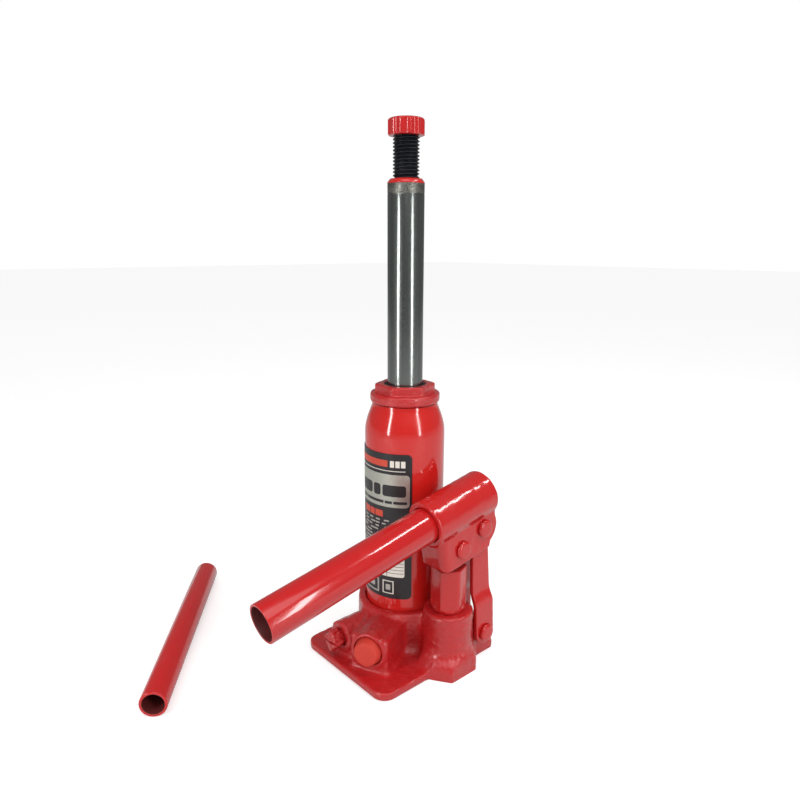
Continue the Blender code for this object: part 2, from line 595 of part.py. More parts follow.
def make_link(name, side):
    """One joggled plate: narrow between the cheeks, wide outside the base's lug."""
    foot, head = Vector(LINK_FOOT), Vector(LINK_HEAD)
    length = (head - foot).length
    lean = math.degrees(math.atan2(foot.x - head.x, head.y - foot.y))
    low_in = LUG_HALF + GAP
    high_in = CHEEK_IN - GAP - LINK_PLATE
    low_out, high_out = low_in + LINK_PLATE, high_in + LINK_PLATE
    section = [(low_in, -20), (low_out, -20), (low_out, 20.5), (high_out, 30.5),
               (high_out, length + 20), (high_in, length + 20), (high_in, 29.5), (low_in, 19.5)]
    face = arc((0, 0), LINK_HALF, 180, 360, 8) + [(LINK_HALF, 20)]
    face += arc((0, length), PIN_R + 3.1, 0, 180, 8) + [(-LINK_HALF, 20)]
    mesh = outline_mesh(name, [(y * side, z) for y, z in section], LINK_HALF + 4)
    mesh.transform(Matrix.Rotation(math.radians(90), 4, "X"))
    mesh.transform(Matrix.Rotation(math.radians(90), 4, "Z"))
    plate = add(name, mesh, "red_paint")
    outline = side_slab(name + "_outline_form", face, -20, 20)
    holes = []
    for tag, z in (("foot", 0), ("head", length)):
        holes.append(drill(name + "_" + tag + "_cut", (0, -25, z), (0, 25, z), PIN_R + GAP, 20))
    pivot = empty(name + "_axis", (foot.x, LINK_Y, foot.y), (0, -lean, 0))
    for piece in [plate, outline] + holes:
        piece.parent = pivot
    boolean(plate, "INTERSECT", outline)
    boolean(plate, "DIFFERENCE", *holes)


def make_socket():
    """Tube with two cheeks below it, joined in front of the plunger by a nose."""
    pivot = empty("socket_axis", (LINK_HEAD[0], LINK_Y, LINK_HEAD[1]), (0, -HANDLE_TILT, 0))
    start, end = SOCKET_U
    socket = cylinder("handle_socket", SOCKET_R, start, end, "red_paint", 36)
    place(socket, (0, 0, HANDLE_W), (0, 90, 0), pivot)
    floor = -15.2
    ceiling = HANDLE_W - 6.6
    cheek = [(start + 0.3, ceiling), (start + 0.3, -2), (-36.5, -13.2), (-34.0, -14.6), (-26.0, floor),
             (3.5, floor)]
    cheek += arc((0, 0), 12.3, -66, 20, 6) + [(end, ceiling)]
    cheeks = side_slab("cheeks_form", cheek, -CHEEK_OUT, CHEEK_OUT)
    front, corner = -36.4, 5.2

    def nose(name, inset, low, high):
        """Wall round the cheeks, seen along the handle's height."""
        y = CHEEK_OUT - corner
        loop = arc((front + corner, y), corner - inset, 90, 180, 5)
        loop += arc((front + corner, -y), corner - inset, 180, 270, 5)
        loop += [(60, inset - CHEEK_OUT), (60, CHEEK_OUT - inset)]
        return slab(name, loop, low, high)

    shell = nose("nose_form", 0, floor - 1, ceiling + 4)
    boolean(cheeks, "INTERSECT", shell)
    inside = nose("nose_cut", SHEET, floor - 7, ceiling)
    bore = cylinder("socket_bore_cut", HANDLE_R + GAP, start - 5, end + 5, steps=36)
    place(bore, (0, 0, HANDLE_W), (0, 90, 0), pivot)
    holes = []
    offset = Vector((PUMP_PIN[0] - LINK_HEAD[0], PUMP_PIN[1] - LINK_HEAD[1]))
    t = math.radians(HANDLE_TILT)
    eye = (offset.x * math.cos(t) + offset.y * math.sin(t), offset.y * math.cos(t) - offset.x * math.sin(t))
    for tag, (u, w) in (("link", (0, 0)), ("pump", eye)):
        holes.append(drill("socket_%s_cut" % tag, (u, -25, w), (u, 25, w), PIN_R + GAP, 20))
    for form in [cheeks, shell, inside] + holes:
        form.parent = pivot
    boolean(socket, "UNION", cheeks)
    boolean(socket, "DIFFERENCE", bore, inside, *holes)

    half = CHEEK_OUT + GAP
    pin("link_top_pin", *LINK_HEAD, half)
    pin("pump_pin", *PUMP_PIN, half)
    start, end = HANDLE_U
    tube = ring("handle_tube", HANDLE_R - HANDLE_WALL, HANDLE_R, start, end, "red_paint", 36)
    smooth(place(tube, (0, 0, HANDLE_W), (0, 90, 0), pivot))


def make_loose_tube():
    tube = ring("extension_tube", LOOSE_R - LOOSE_WALL, LOOSE_R, 0, LOOSE_LENGTH, "red_paint", 32)
    smooth(place(tube, (*LOOSE_NEAR, LOOSE_R), (0, 90, LOOSE_HEADING)))


make_base()
make_tank()
make_label()
make_filler_plug()
make_ram()
make_screw()
make_pump()
make_valves()
make_filter()
for plate_name, plate_side in (("link_plate_outer", -1), ("link_plate_inner", 1)):
    make_link(plate_name, plate_side)
pin("link_base_pin", *LINK_FOOT, LUG_HALF + GAP + LINK_PLATE + GAP)
make_socket()
make_loose_tube()
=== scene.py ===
"""Looks of a hydraulic bottle jack with a two-piece tube handle.

Lengths are in millimetres until a mesh is made; +Z is up, the ram's axis is the
Z axis, and the linkage lies in the plane y = LINK_Y.
"""

import json
import math

import bpy
import numpy as np
from mathutils import Matrix, Vector, noise


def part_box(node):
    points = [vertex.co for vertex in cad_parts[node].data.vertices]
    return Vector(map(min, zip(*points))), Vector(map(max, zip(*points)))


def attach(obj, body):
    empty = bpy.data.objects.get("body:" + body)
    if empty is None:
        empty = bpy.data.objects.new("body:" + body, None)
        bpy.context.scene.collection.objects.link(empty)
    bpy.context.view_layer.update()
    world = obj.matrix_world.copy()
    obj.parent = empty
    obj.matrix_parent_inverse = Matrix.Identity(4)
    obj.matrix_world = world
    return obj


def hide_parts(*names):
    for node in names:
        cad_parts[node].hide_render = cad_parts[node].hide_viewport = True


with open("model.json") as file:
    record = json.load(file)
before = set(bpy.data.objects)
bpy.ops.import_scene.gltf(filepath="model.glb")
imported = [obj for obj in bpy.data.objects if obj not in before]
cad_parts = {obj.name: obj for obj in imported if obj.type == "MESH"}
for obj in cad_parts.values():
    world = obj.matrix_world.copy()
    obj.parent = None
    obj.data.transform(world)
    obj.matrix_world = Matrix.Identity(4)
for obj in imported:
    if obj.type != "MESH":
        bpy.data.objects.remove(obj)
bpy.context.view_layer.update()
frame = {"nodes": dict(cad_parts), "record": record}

MM = 0.001
COLLAR_R = 30.5
COLLAR_TOP = 31.0
TANK_R = 25.4
CYLINDER_SEAT_R = 16.2
RAM_R = 11.0
RAM_TOP = 297.5
SCREW_R = 7.85
SCREW_Z = (246.5, 323.0)
SADDLE_Z = (321.5, 331.0)
SADDLE_R = 10.9
NUT_TOP = 175.5
NUT_FLANGE_R = 21.9
NUT_HEX_R = 19.4
NUT_ROUND_R = 19.2
NUT_HEADING = 23.0
PISTON_Z = (144.1, 148.5)
PISTON_R = 14.2
LINK_Y = -43.6
PUMP_X = -1.7
PUMP_HEX_R = 11.5
PUMP_HEADING = 20.0
PLUNGER_R = 5.85
PIN_BORE_R = 3.75
LINK_FOOT = (21.5, 17.5)
LINK_HEAD = (17.0, 90.5)
PUMP_PIN = (-1.5, 82.0)
CHEEK_OUT = 11.1
SHEET = 2.5
HANDLE_TILT = 10.45
SOCKET_R = 14.1
SOCKET_U = (-37.2, 12.3)
HANDLE_W = 16.6
HANDLE_R = 10.7
HANDLE_U = (-148.2, -8.0)
LOOSE_R = 8.0
LOOSE_NEAR = (-162.4, 29.1)
LOOSE_LENGTH = 155.5
LOOSE_HEADING = 53.9
CAP_HEADING = 205.0
CAP_Z = 18.5
CAP_PAD = 54.5
CAP_R = 8.9
CAP_TIP_R = 7.7
RELEASE_Y = 2.5
RELEASE_Z = 17.0
RELEASE_PAD = -52.0
LABEL_Z = (39.5, 136.0)
LABEL_EDGES = (48.75, 238.75)
LABEL_R = 25.55
FILM = 0.28                    # how far the label's film stands off
CAMERA_AT = (-0.2709, -0.3032, 0.25905)
CAMERA_LENS = 29.635
CAMERA_TURN = (-41.344, 76.881, 0.218)     # heading, tilt and roll
FACING = 228.2                 # heading of the side that faces the camera
WHITE = (1, 1, 1, 1)


def turn(angle, axis):
    return Matrix.Rotation(math.radians(angle), 4, axis)


def add_object(name, data):
    made = bpy.data.objects.new(name, data)
    bpy.context.scene.collection.objects.link(made)
    return made


# ------------------------------------------------------------- camera and light

def make_camera():
    data = bpy.data.cameras.new("camera")
    data.lens = CAMERA_LENS
    data.sensor_width = 36
    data.clip_start = 0.01
    camera = add_object("camera", data)
    heading, tilt, roll = CAMERA_TURN
    aim = turn(heading, "Z") @ turn(tilt, "X")
    camera.matrix_world = Matrix.Translation(CAMERA_AT) @ aim @ turn(roll, "Z")
    bpy.context.scene.camera = camera


def softbox(name, at, target, width, height, watts):
    data = bpy.data.lights.new(name, "AREA")
    data.shape = "RECTANGLE"
    data.size = width
    data.size_y = height
    data.energy = watts
    lamp = add_object(name, data)
    lamp.location = at
    lamp.rotation_euler = (Vector(target) - Vector(at)).to_track_quat("-Z", "Y").to_euler()


def round_the_ram(azimuth, distance, height):
    """Point at a heading counted from the side that faces the camera."""
    a = math.radians(FACING + azimuth)
    return (distance * math.cos(a), distance * math.sin(a), height)


def make_studio():
    bpy.context.scene.view_settings.view_transform = "Standard"
    world = bpy.data.worlds.new("studio")
    world.use_nodes = True
    w = Wiring(world.node_tree)
    ray = w.node("ShaderNodeLightPath").outputs
    mirrored = w.fill(w.node("ShaderNodeMapRange"), Value=ray["Is Glossy Ray"], To_Min=0.42, To_Max=0.2)
    level = w.fill(w.node("ShaderNodeMapRange"), Value=ray["Is Camera Ray"], To_Min=mirrored)
    w.fill(world.node_tree.nodes["Background"], Color=WHITE, Strength=level)
    bpy.context.scene.world = world
    softbox("strip_left", round_the_ram(-46, 0.75, 0.34), (0, 0, 0.25), 0.07, 0.5, 2.1)
    softbox("strip_right", round_the_ram(43, 0.75, 0.34), (0, 0, 0.25), 0.06, 0.5, 1.6)
    softbox("key", (0.38, -0.45, 0.92), (-0.05, -0.03, 0.1), 0.34, 0.1, 2.2)
    softbox("overhead", (-0.35, -0.1, 1.1), (0, 0, 0.1), 0.5, 0.5, 0.5)
    data = bpy.data.lights.new("daylight", "SUN")
    data.energy = 0.85
    data.angle = math.radians(50)
    lamp = add_object("daylight", data)
    lamp.rotation_euler = Vector((0.35, 0.55, -1.0)).to_track_quat("-Z", "Y").to_euler()

    floor = bpy.data.meshes.new("studio_floor")
    reach = 8.0
    floor.from_pydata([(-reach, -reach, 0), (reach, -reach, 0), (reach, reach, 0), (-reach, reach, 0)],
                      [], [(0, 1, 2, 3)])
    floor = add_object("studio_floor", floor)
    paper = bpy.data.materials.new("floor_paper")
    paper.use_nodes = True
    shader = paper.node_tree.nodes["Principled BSDF"]
    w = Wiring(paper.node_tree)
    glow = w.fill(w.node("ShaderNodeMapRange"), Value=w.node("ShaderNodeLightPath"), To_Max=0.5)
    w.fill(shader, Base_Color=(0.7, 0.7, 0.7, 1), Roughness=0.9, Specular_IOR_Level=0.1,
           Emission_Color=WHITE, Emission_Strength=glow)
    floor.data.materials.append(paper)


# ------------------------------------------------------------------- node trees

def socket(tree, direction, name, kind, value=None):
    made = tree.interface.new_socket(name=name, in_out=direction, socket_type=kind)
    if value is not None:
        made.default_value = value


class Wiring:
    """Adds nodes to a tree and wires them by value, by socket or by name."""

    def __init__(self, tree):
        self.tree = tree
        self.inputs = None

    def node(self, kind, *values, **settings):
        """Unnamed values go to the sockets in order; None leaves one as it is."""
        made = self.tree.nodes.new(kind)
        for name, value in settings.items():
            setattr(made, name, value)
        for place, value in zip(made.inputs, values):
            self.set(place, value)
        return made

    def set(self, place, value):
        if value is None:
            return
        if isinstance(value, bpy.types.Node):
            value = next(out for out in value.outputs if out.enabled)
        if isinstance(value, bpy.types.NodeSocket):
            self.tree.links.new(value, place)
        else:
            place.default_value = value

    def fill(self, node, **values):
        """Values by the sockets' names, with _ for a space."""
        for name, value in values.items():
            self.set(node.inputs[name.replace("_", " ")], value)
        return node

    def math(self, operation, *values):
        return self.node("ShaderNodeMath", *values, operation=operation)

    def times(self, a, b):
        return self.math("MULTIPLY", a, b)

    def here(self):
        return self.node("ShaderNodeTexCoord").outputs["Object"]

    def noise(self, place, scale, detail=2.0, rough=0.5):
        made = self.fill(self.node("ShaderNodeTexNoise"), Vector=place, Scale=scale, Detail=detail,
                         Roughness=rough)
        return made.outputs["Factor"] if "Factor" in made.outputs else made.outputs["Fac"]

    def ramp(self, value, low, high, out_low=0.0, out_high=1.0):
        made = self.node("ShaderNodeMapRange", value, low, high, out_low, out_high)
        made.interpolation_type = "SMOOTHSTEP"
        return made.outputs["Result"]

    def mix(self, share, a, b):
        made = self.node("ShaderNodeMix", data_type="RGBA")
        for place, value in ((made.inputs[0], share), (made.inputs[6], a), (made.inputs[7], b)):
            self.set(place, value)
        return made.outputs[2]

    def random(self, low, high):
        """A number for each point, drawn with the tree's own Seed."""
        made = self.node("FunctionNodeRandomValue", data_type="FLOAT")
        seed = self.given("Seed")
        for place, value in ((made.inputs[2], low), (made.inputs[3], high), (made.inputs["Seed"], seed)):
            self.set(place, value)
        return made.outputs[1]

    def move(self, geometry, **to):
        return self.fill(self.node("GeometryNodeSetPosition", geometry), **to).outputs["Geometry"]

    def given(self, name):
        if self.inputs is None:
            self.inputs = self.tree.nodes.new("NodeGroupInput")
        return self.inputs.outputs[name]

    def result(self, **values):
        self.fill(self.tree.nodes.new("NodeGroupOutput"), **values)


def shader_group(name, inputs, outputs):
    tree = bpy.data.node_groups.new(name, "ShaderNodeTree")
    for label, value in inputs.items():
        socket(tree, "INPUT", label, "NodeSocketFloat", value)
    for label in outputs:
        socket(tree, "OUTPUT", label, "NodeSocketFloat")
    return tree, Wiring(tree)


def make_paint_film():
    """Ripple of sprayed paint over the lumps of what it covers."""
    tree, w = shader_group("paint_film", {"Peel Scale": 900.0, "Peel": 0.5, "Lump Scale": 250.0, "Lump": 0.5},
                           ["Height"])
    place = w.here()
    peel = w.times(w.noise(place, w.given("Peel Scale"), 1.0), w.given("Peel"))
    lump = w.times(w.noise(place, w.given("Lump Scale"), 3.0, 0.6), w.given("Lump"))
    w.result(Height=w.math("ADD", peel, lump))
    return tree


def make_edge_wear_and_painted_shade():
    """Masks of the worn high edges and of the hollows; the hollow mask is for painted shade."""
    tree, w = shader_group("edge_wear_and_painted_shade", {"Edge": 0.56, "Hollow": 0.46, "Breakup Scale": 400.0},
                           ["Worn", "Shaded"])
    bend = w.node("ShaderNodeNewGeometry").outputs["Pointiness"]
    place = w.here()
    patchy = w.noise(place, w.given("Breakup Scale"), 4.0, 0.65)
    edge = w.ramp(bend, w.given("Edge"), w.math("ADD", w.given("Edge"), 0.06))
    worn = w.times(edge, w.ramp(patchy, 0.42, 0.62))
    shaded = w.ramp(bend, w.given("Hollow"), w.math("SUBTRACT", w.given("Hollow"), 0.08))
    w.result(Worn=worn, Shaded=shaded)
    return tree


def make_grime():
    """Thin dirt and dust, in clouds with finer specks."""
    tree, w = shader_group("grime", {"Cloud Scale": 60.0, "Speck Scale": 900.0, "Amount": 0.5},
                           ["Film", "Specks"])
    place = w.here()
    film = w.ramp(w.noise(place, w.given("Cloud Scale"), 5.0, 0.6), 0.45, 0.75)
    specks = w.ramp(w.noise(place, w.given("Speck Scale"), 2.0), 0.66, 0.72)
    w.result(Film=w.times(film, w.given("Amount")), Specks=w.times(specks, w.given("Amount")))
    return tree


def make_tool_marks():
    """Fine turning marks round the Z axis and faint streaks along it."""
    tree, w = shader_group("tool_marks", {"Turning": 9000.0, "Streak": 500.0}, ["Marks", "Streaks"])
    place = w.here()
    flat = w.node("ShaderNodeMapping", place)
    flat.inputs["Scale"].default_value = (0.04, 0.04, 1.0)
    tall = w.node("ShaderNodeMapping", place)
    tall.inputs["Scale"].default_value = (1.0, 1.0, 0.02)
    w.result(Marks=w.noise(flat, w.given("Turning"), 2.0), Streaks=w.noise(tall, w.given("Streak"), 3.0))
    return tree


PAINT_FILM = make_paint_film()
EDGE_WEAR_AND_PAINTED_SHADE = make_edge_wear_and_painted_shade()
GRIME = make_grime()
TOOL_MARKS = make_tool_marks()


# -------------------------------------------------------------------- materials

def new_finish(name, rough, metal=0.0, coat=0.0):
    made = bpy.data.materials.new(name)
    made.use_nodes = True
    shader = made.node_tree.nodes["Principled BSDF"]
    w = Wiring(made.node_tree)
    w.fill(shader, Roughness=rough, Metallic=metal, Coat_Weight=coat, Coat_Roughness=0.05)
    return made, shader, w


def use(w, group, **values):
    return w.fill(w.node("ShaderNodeGroup", node_tree=group), **values).outputs


def shade(colour, share, lift=0.0):
    return tuple(c * share + lift for c in colour[:3]) + (1,)


def bump(w, shader, height, strength, distance):
    made = w.fill(w.node("ShaderNodeBump"), Strength=strength, Distance=distance * MM, Height=height)
    w.set(shader.inputs["Normal"], made.outputs["Normal"])


def paint(name, colour, rough=(0.2, 0.32), peel=0.3, lump=0.4, lump_scale=300.0, depth=0.12, wear=0.0,
          dirt=0.25, coat=0.5):
    """Glossy sprayed paint; wear shows the primer on sharp edges, and hollows get painted shade."""
    made, shader, w = new_finish(name, rough[0], 0.0, coat)
    film = use(w, PAINT_FILM, Peel_Scale=1400.0, Peel=peel, Lump_Scale=lump_scale, Lump=lump)
    worn, shaded = use(w, EDGE_WEAR_AND_PAINTED_SHADE, Edge=0.57)
    dust, specks = use(w, GRIME, Amount=dirt)
    deep = shade(colour, 0.55)
    pale = shade(colour, 0.86, 0.05)
    # Painted shade: hollows are darkened towards the deep colour, which the dirt specks below also use.
    body = w.mix(shaded, colour, deep)
    body = w.mix(w.times(dust, 0.35), body, pale)
    body = w.mix(w.times(specks, 0.5), body, deep)
    body = w.mix(w.times(worn, wear), body, (0.16, 0.05, 0.045, 1))
    w.fill(shader, Base_Color=body, Roughness=w.ramp(dust, 0.0, 0.3, *rough))
    bump(w, shader, film["Height"], 0.6, depth)
    return made


def steel(name, colour, rough, streaks=0.5, dirt=0.3, band=None, depth=0.01):
    """Turned steel; band is a pair of heights between which the surface is pitted."""
    made, shader, w = new_finish(name, rough[0], 1.0)
    marks, streak = use(w, TOOL_MARKS)
    dust, specks = use(w, GRIME, Amount=dirt, Cloud_Scale=90.0)
    dark = shade(colour, 0.45)
    body = w.mix(w.times(w.ramp(streak, 0.35, 0.7), streaks), colour, dark)
    body = w.mix(w.times(specks, 0.7), body, (0.05, 0.04, 0.03, 1))
    body = w.mix(w.times(dust, 0.3), body, (0.28, 0.25, 0.19, 1))
    gloss = w.ramp(marks, 0.3, 0.7, rough[0], rough[1])
    height = marks
    if band:
        place = w.here()
        level = w.node("ShaderNodeSeparateXYZ", place).outputs["Z"]
        wander = w.times(w.math("SUBTRACT", w.noise(place, 160.0), 0.5), 0.004)
        level = w.math("ADD", level, wander)
        inside = w.times(w.ramp(level, band[0] * MM - 0.0008, band[0] * MM + 0.0006),
                        w.ramp(level, band[1] * MM + 0.0006, band[1] * MM - 0.0004))
        pits = w.times(inside, w.ramp(w.noise(place, 1100.0, 3.0, 0.6), 0.48, 0.56))
        body = w.mix(w.times(pits, 0.85), body, (0.035, 0.03, 0.026, 1))
        body = w.mix(w.times(inside, 0.35), body, (0.3, 0.27, 0.22, 1))
        gloss = w.math("ADD", gloss, w.times(inside, 0.22))
        height = w.math("SUBTRACT", marks, w.times(pits, 8.0))
    w.fill(shader, Base_Color=body, Roughness=gloss)
    bump(w, shader, height, 0.35, depth)
    return made


def dull(name, colour, rough, scale=700.0, depth=0.05, dirt=0.3, metal=0.0):
    """Rubber, moulded plastic, print and blackened steel."""
    made, shader, w = new_finish(name, rough[0], metal)
    film = use(w, PAINT_FILM, Peel_Scale=scale * 3, Peel=0.3, Lump_Scale=scale, Lump=0.6)
    dust, specks = use(w, GRIME, Amount=dirt)
    pale = shade(colour, 0.8, 0.06)
    dark = shade(colour, 0.7)
    body = w.mix(w.times(dust, 0.5), colour, pale)
    body = w.mix(w.times(specks, 0.5), body, dark)
    w.fill(shader, Base_Color=body, Roughness=w.ramp(film["Height"], 0.3, 0.6, *rough))
    bump(w, shader, film["Height"], 0.5, depth)
    return made


def foil(name):
    """Silver panel of the label, with a fine brushed grain round it."""
    made, shader, w = new_finish(name, 0.34, 0.75)
    marks, streak = use(w, TOOL_MARKS, Turning=14000.0)
    body = w.mix(w.ramp(marks, 0.3, 0.7), (0.40, 0.40, 0.35, 1), (0.60, 0.60, 0.53, 1))
    w.fill(shader, Base_Color=w.mix(w.ramp(streak, 0.5, 0.8), body, (0.50, 0.49, 0.43, 1)),
           Roughness=w.ramp(marks, 0.3, 0.7, 0.28, 0.42))
    bump(w, shader, marks, 0.2, 0.01)
    return made


RED = (0.58, 0.014, 0.011, 1)
CAST_RED = (0.50, 0.013, 0.015, 1)
SMOOTH_PAINT = paint("red_paint_smooth", RED, rough=(0.15, 0.26), peel=0.25, lump=0.1, depth=0.05)
TANK_PAINT = paint("red_paint_tank", RED, rough=(0.13, 0.24), peel=0.5, lump=0.6, lump_scale=420.0,
                   depth=0.06)
TUBE_PAINT = paint("red_paint_tube", (0.54, 0.011, 0.012, 1), rough=(0.15, 0.26), peel=0.3, lump=0.25,
                   lump_scale=120.0, depth=0.06)
CAST_PAINT = paint("red_paint_cast", CAST_RED, rough=(0.1, 0.24), peel=0.9, lump=1.4, lump_scale=620.0,
                   depth=0.6, dirt=0.3)
PRESSED_PAINT = paint("red_paint_pressed", (0.54, 0.013, 0.013, 1), rough=(0.17, 0.3), peel=0.4, lump=0.5,
                      lump_scale=260.0, depth=0.1)
TUBE_INSIDE = paint("red_paint_inside", (0.12, 0.016, 0.016, 1), rough=(0.45, 0.6), lump=0.6, depth=0.12,
                    coat=0.0)
RAM_STEEL = steel("ram_steel", (0.27, 0.29, 0.28, 1), (0.18, 0.26), streaks=0.35,
                  band=(RAM_TOP - 8.5, RAM_TOP - 1.9))
ROD_STEEL = steel("rod_steel", (0.4, 0.4, 0.39, 1), (0.22, 0.3))
BALL_STEEL = steel("ball_bearing_steel", (0.6, 0.6, 0.6, 1), (0.08, 0.14), streaks=0.1, dirt=0.1)
WIRE_STEEL = steel("spring_wire_steel", (0.25, 0.25, 0.26, 1), (0.3, 0.42))
THREAD_STEEL = dull("blackened_steel", (0.012, 0.014, 0.02, 1), (0.3, 0.5), scale=1200.0, depth=0.04,
                    dirt=0.5, metal=0.6)
RUBBER = dull("seal_rubber", (0.02, 0.02, 0.02, 1), (0.6, 0.8))
PLUG = dull("orange_plug_plastic", (0.62, 0.04, 0.022, 1), (0.5, 0.66), scale=500.0, depth=0.06, dirt=0.35)
COPPER = steel("copper_washer", (0.65, 0.3, 0.15, 1), (0.3, 0.45), streaks=0.2)
PRINT_BLACK = dull("label_black", (0.016, 0.014, 0.016, 1), (0.3, 0.4), scale=300.0, depth=0.02, dirt=0.2)
PRINT_SILVER = foil("label_silver")
PRINT_WHITE = dull("label_white", (0.76, 0.73, 0.66, 1), (0.34, 0.44), scale=400.0, depth=0.01)
PRINT_GREY = dull("label_grey", (0.42, 0.40, 0.37, 1), (0.34, 0.44), scale=400.0, depth=0.01)
PRINT_RED = dull("label_red", (0.62, 0.06, 0.03, 1), (0.34, 0.44), scale=400.0, depth=0.01)

CARRIED = {"red_paint": SMOOTH_PAINT, "bare_steel": ROD_STEEL, "dark_steel": THREAD_STEEL,
           "ball_steel": BALL_STEEL, "spring_steel": WIRE_STEEL, "seal_rubber": RUBBER,
           "orange_plastic": PLUG, "copper_washer": COPPER, "label_film": PRINT_BLACK}


def dress_solids():
    for part in frame["record"]["subparts"]:
        solid = frame["nodes"][part["node"]]
        solid.data.materials.clear()
        solid.data.materials.append(CARRIED[part["material_slot"]])


# --------------------------------------------------------------- shapes by field

def rounded(a, b, edge):
    """Both at once, with the edge between them rounded."""
    a, b = a + edge, b + edge
    return np.minimum(np.maximum(a, b), 0) + np.hypot(np.maximum(a, 0), np.maximum(b, 0)) - edge


def meld(a, b, fillet):
    """Union with a fillet."""
    share = np.clip(0.5 + 0.5 * (b - a) / fillet, 0, 1)
    return b + (a - b) * share - fillet * share * (1 - share)


def carve(a, b, edge):
    """What is left of a without b, with a rounded edge."""
    return -meld(-a, b, edge)


def disc(a, b, centre, radius):
    return np.hypot(a - centre[0], b - centre[1]) - radius


def span(a, low, high):
    return np.abs(a - (low + high) / 2) - (high - low) / 2


def slab_field(flat, z, low, high, edge):
    return rounded(flat, span(z, low, high), edge)


def block(x, y, z, low, high, edge):
    q = [span(p, a, b) + edge for p, a, b in zip((x, y, z), low, high)]
    outside = np.sqrt(sum(np.maximum(v, 0) ** 2 for v in q))
    return outside + np.minimum(np.maximum(np.maximum(q[0], q[1]), q[2]), 0) - edge


def polygon(a, b, loop):
    """Signed distance to a flat outline, negative inside."""
    a, b = np.broadcast_arrays(a, b)
    best = np.full(a.shape, 1e9, np.float32)
    inside = np.zeros(a.shape, bool)
    for (x0, y0), (x1, y1) in zip(loop, loop[1:] + loop[:1]):
        ex, ey = x1 - x0, y1 - y0
        px, py = a - x0, b - y0
        along = np.clip((px * ex + py * ey) / (ex * ex + ey * ey), 0, 1)
        best = np.minimum(best, (px - along * ex) ** 2 + (py - along * ey) ** 2)
        crosses = (y0 > b) != (y1 > b)
        side = px * ey - py * ex
        inside ^= crosses & ((side < 0) if y1 > y0 else (side > 0))
    return np.where(inside, -np.sqrt(best), np.sqrt(best)).astype(np.float32)


def arc(centre, radius, start, end, count):
    angles = np.radians(np.linspace(start, end, count + 1))
    return [(centre[0] + radius * math.cos(a), centre[1] + radius * math.sin(a)) for a in angles]


def hexagon(u, v, radius):
    """Depth inside or height outside six flats; radius reaches their corners."""
    flats = np.full(np.broadcast(u, v).shape, -1e9, np.float32)
    for k in range(6):
        a = math.radians(60 * k + 30)
        flats = np.maximum(flats, u * math.cos(a) + v * math.sin(a) - radius * math.cos(math.radians(30)))
    return flats


def turned_field(x, y, angle):
    a = math.radians(angle)
    return x * math.cos(a) + y * math.sin(a), y * math.cos(a) - x * math.sin(a)


def relax(points, faces, rounds):
    """Evens out the steps of the sampling without shrinking the form."""
    edges = np.unique(np.sort(np.concatenate([faces[:, [0, 1]], faces[:, [1, 2]], faces[:, [2, 3]],
                                              faces[:, [3, 0]]]), axis=1), axis=0)
    count = len(points)
    degree = np.bincount(edges.ravel(), minlength=count)[:, None]
    for _ in range(rounds):
        for pull in (0.5, -0.52):
            total = np.stack([np.bincount(edges[:, 0], points[edges[:, 1], k], count)
                              + np.bincount(edges[:, 1], points[edges[:, 0], k], count) for k in range(3)], 1)
            points = points + pull * (total / degree - points)
    return points


def skin(name, field, low, high, step, look, rounds=2):
    """Closed mesh of the surface where the field is zero, in millimetres."""
    counts = [int(math.ceil((b - a) / step)) + 1 for a, b in zip(low, high)]
    axes = [np.float32(a + step * np.arange(n)) for a, n in zip(low, counts)]
    x, y, z = axes[0][:, None, None], axes[1][None, :, None], axes[2][None, None, :]
    d = np.broadcast_to(field(x, y, z), counts)
    cells = [n - 1 for n in counts]
    total = np.zeros(cells + [3], np.float32)
    hits = np.zeros(cells, np.float32)
    for axis in range(3):
        b, c = (axis + 1) % 3, (axis + 2) % 3
        for at_b in (0, 1):
            for at_c in (0, 1):
                start = [slice(0, cells[k]) for k in range(3)]
                start[b] = slice(at_b, cells[b] + at_b)
                start[c] = slice(at_c, cells[c] + at_c)
                end = list(start)
                end[axis] = slice(1, cells[axis] + 1)
                d0, d1 = d[tuple(start)], d[tuple(end)]
                cross = (d0 < 0) != (d1 < 0)
                share = np.where(cross, d0 / np.where(cross, d0 - d1, 1), 0)
                total[..., axis] += share
                total[..., b] += cross * at_b
                total[..., c] += cross * at_c
                hits += cross
    active = hits > 0
    index = np.full(cells, -1, np.int64)
    index[active] = np.arange(active.sum())
    origin = np.argwhere(active)
    points = (origin + total[active] / hits[active][:, None]) * step + np.array(low)
    quads = []
    for axis in range(3):
        b, c = (axis + 1) % 3, (axis + 2) % 3
        start = [slice(1, counts[k] - 1) for k in range(3)]
        start[axis] = slice(0, counts[axis] - 1)
        end = list(start)
        end[axis] = slice(1, counts[axis])
        inner, outer = d[tuple(start)] < 0, d[tuple(end)] < 0
        for mask, order in ((inner & ~outer, 1), (~inner & outer, -1)):
            at = np.argwhere(mask)
            at[:, b] += 1
            at[:, c] += 1
            ring = []
            for back_b, back_c in ((0, 0), (1, 0), (1, 1), (0, 1)):
                cell = at.copy()
                cell[:, b] -= back_b
                cell[:, c] -= back_c
                ring.append(index[cell[:, 0], cell[:, 1], cell[:, 2]])
            quads.append(np.stack(ring[::order], 1))
    faces = np.concatenate(quads)
    points = relax(points, faces, rounds)
    return form(name, points.tolist(), faces.tolist(), look)


def form(name, points, faces, look, soft=None):
    """Smooth mesh, with sharp edges where the faces turn by more than soft degrees."""
    mesh = bpy.data.meshes.new(name)
    mesh.from_pydata(points, [], faces)
    mesh.shade_smooth()
    if soft is not None:
        mesh.set_sharp_from_angle(angle=math.radians(soft))
    return piece(name, mesh, look)


def piece(name, mesh, look):
    mesh.materials.append(look)
    return add_object(name, mesh)


def points_of(mesh):
    points = np.empty(len(mesh.vertices) * 3, np.float32)
    mesh.vertices.foreach_get("co", points)
    return points.reshape(-1, 3)


def move_points(mesh, points):
    mesh.vertices.foreach_set("co", points.astype(np.float32).ravel())
    mesh.update()


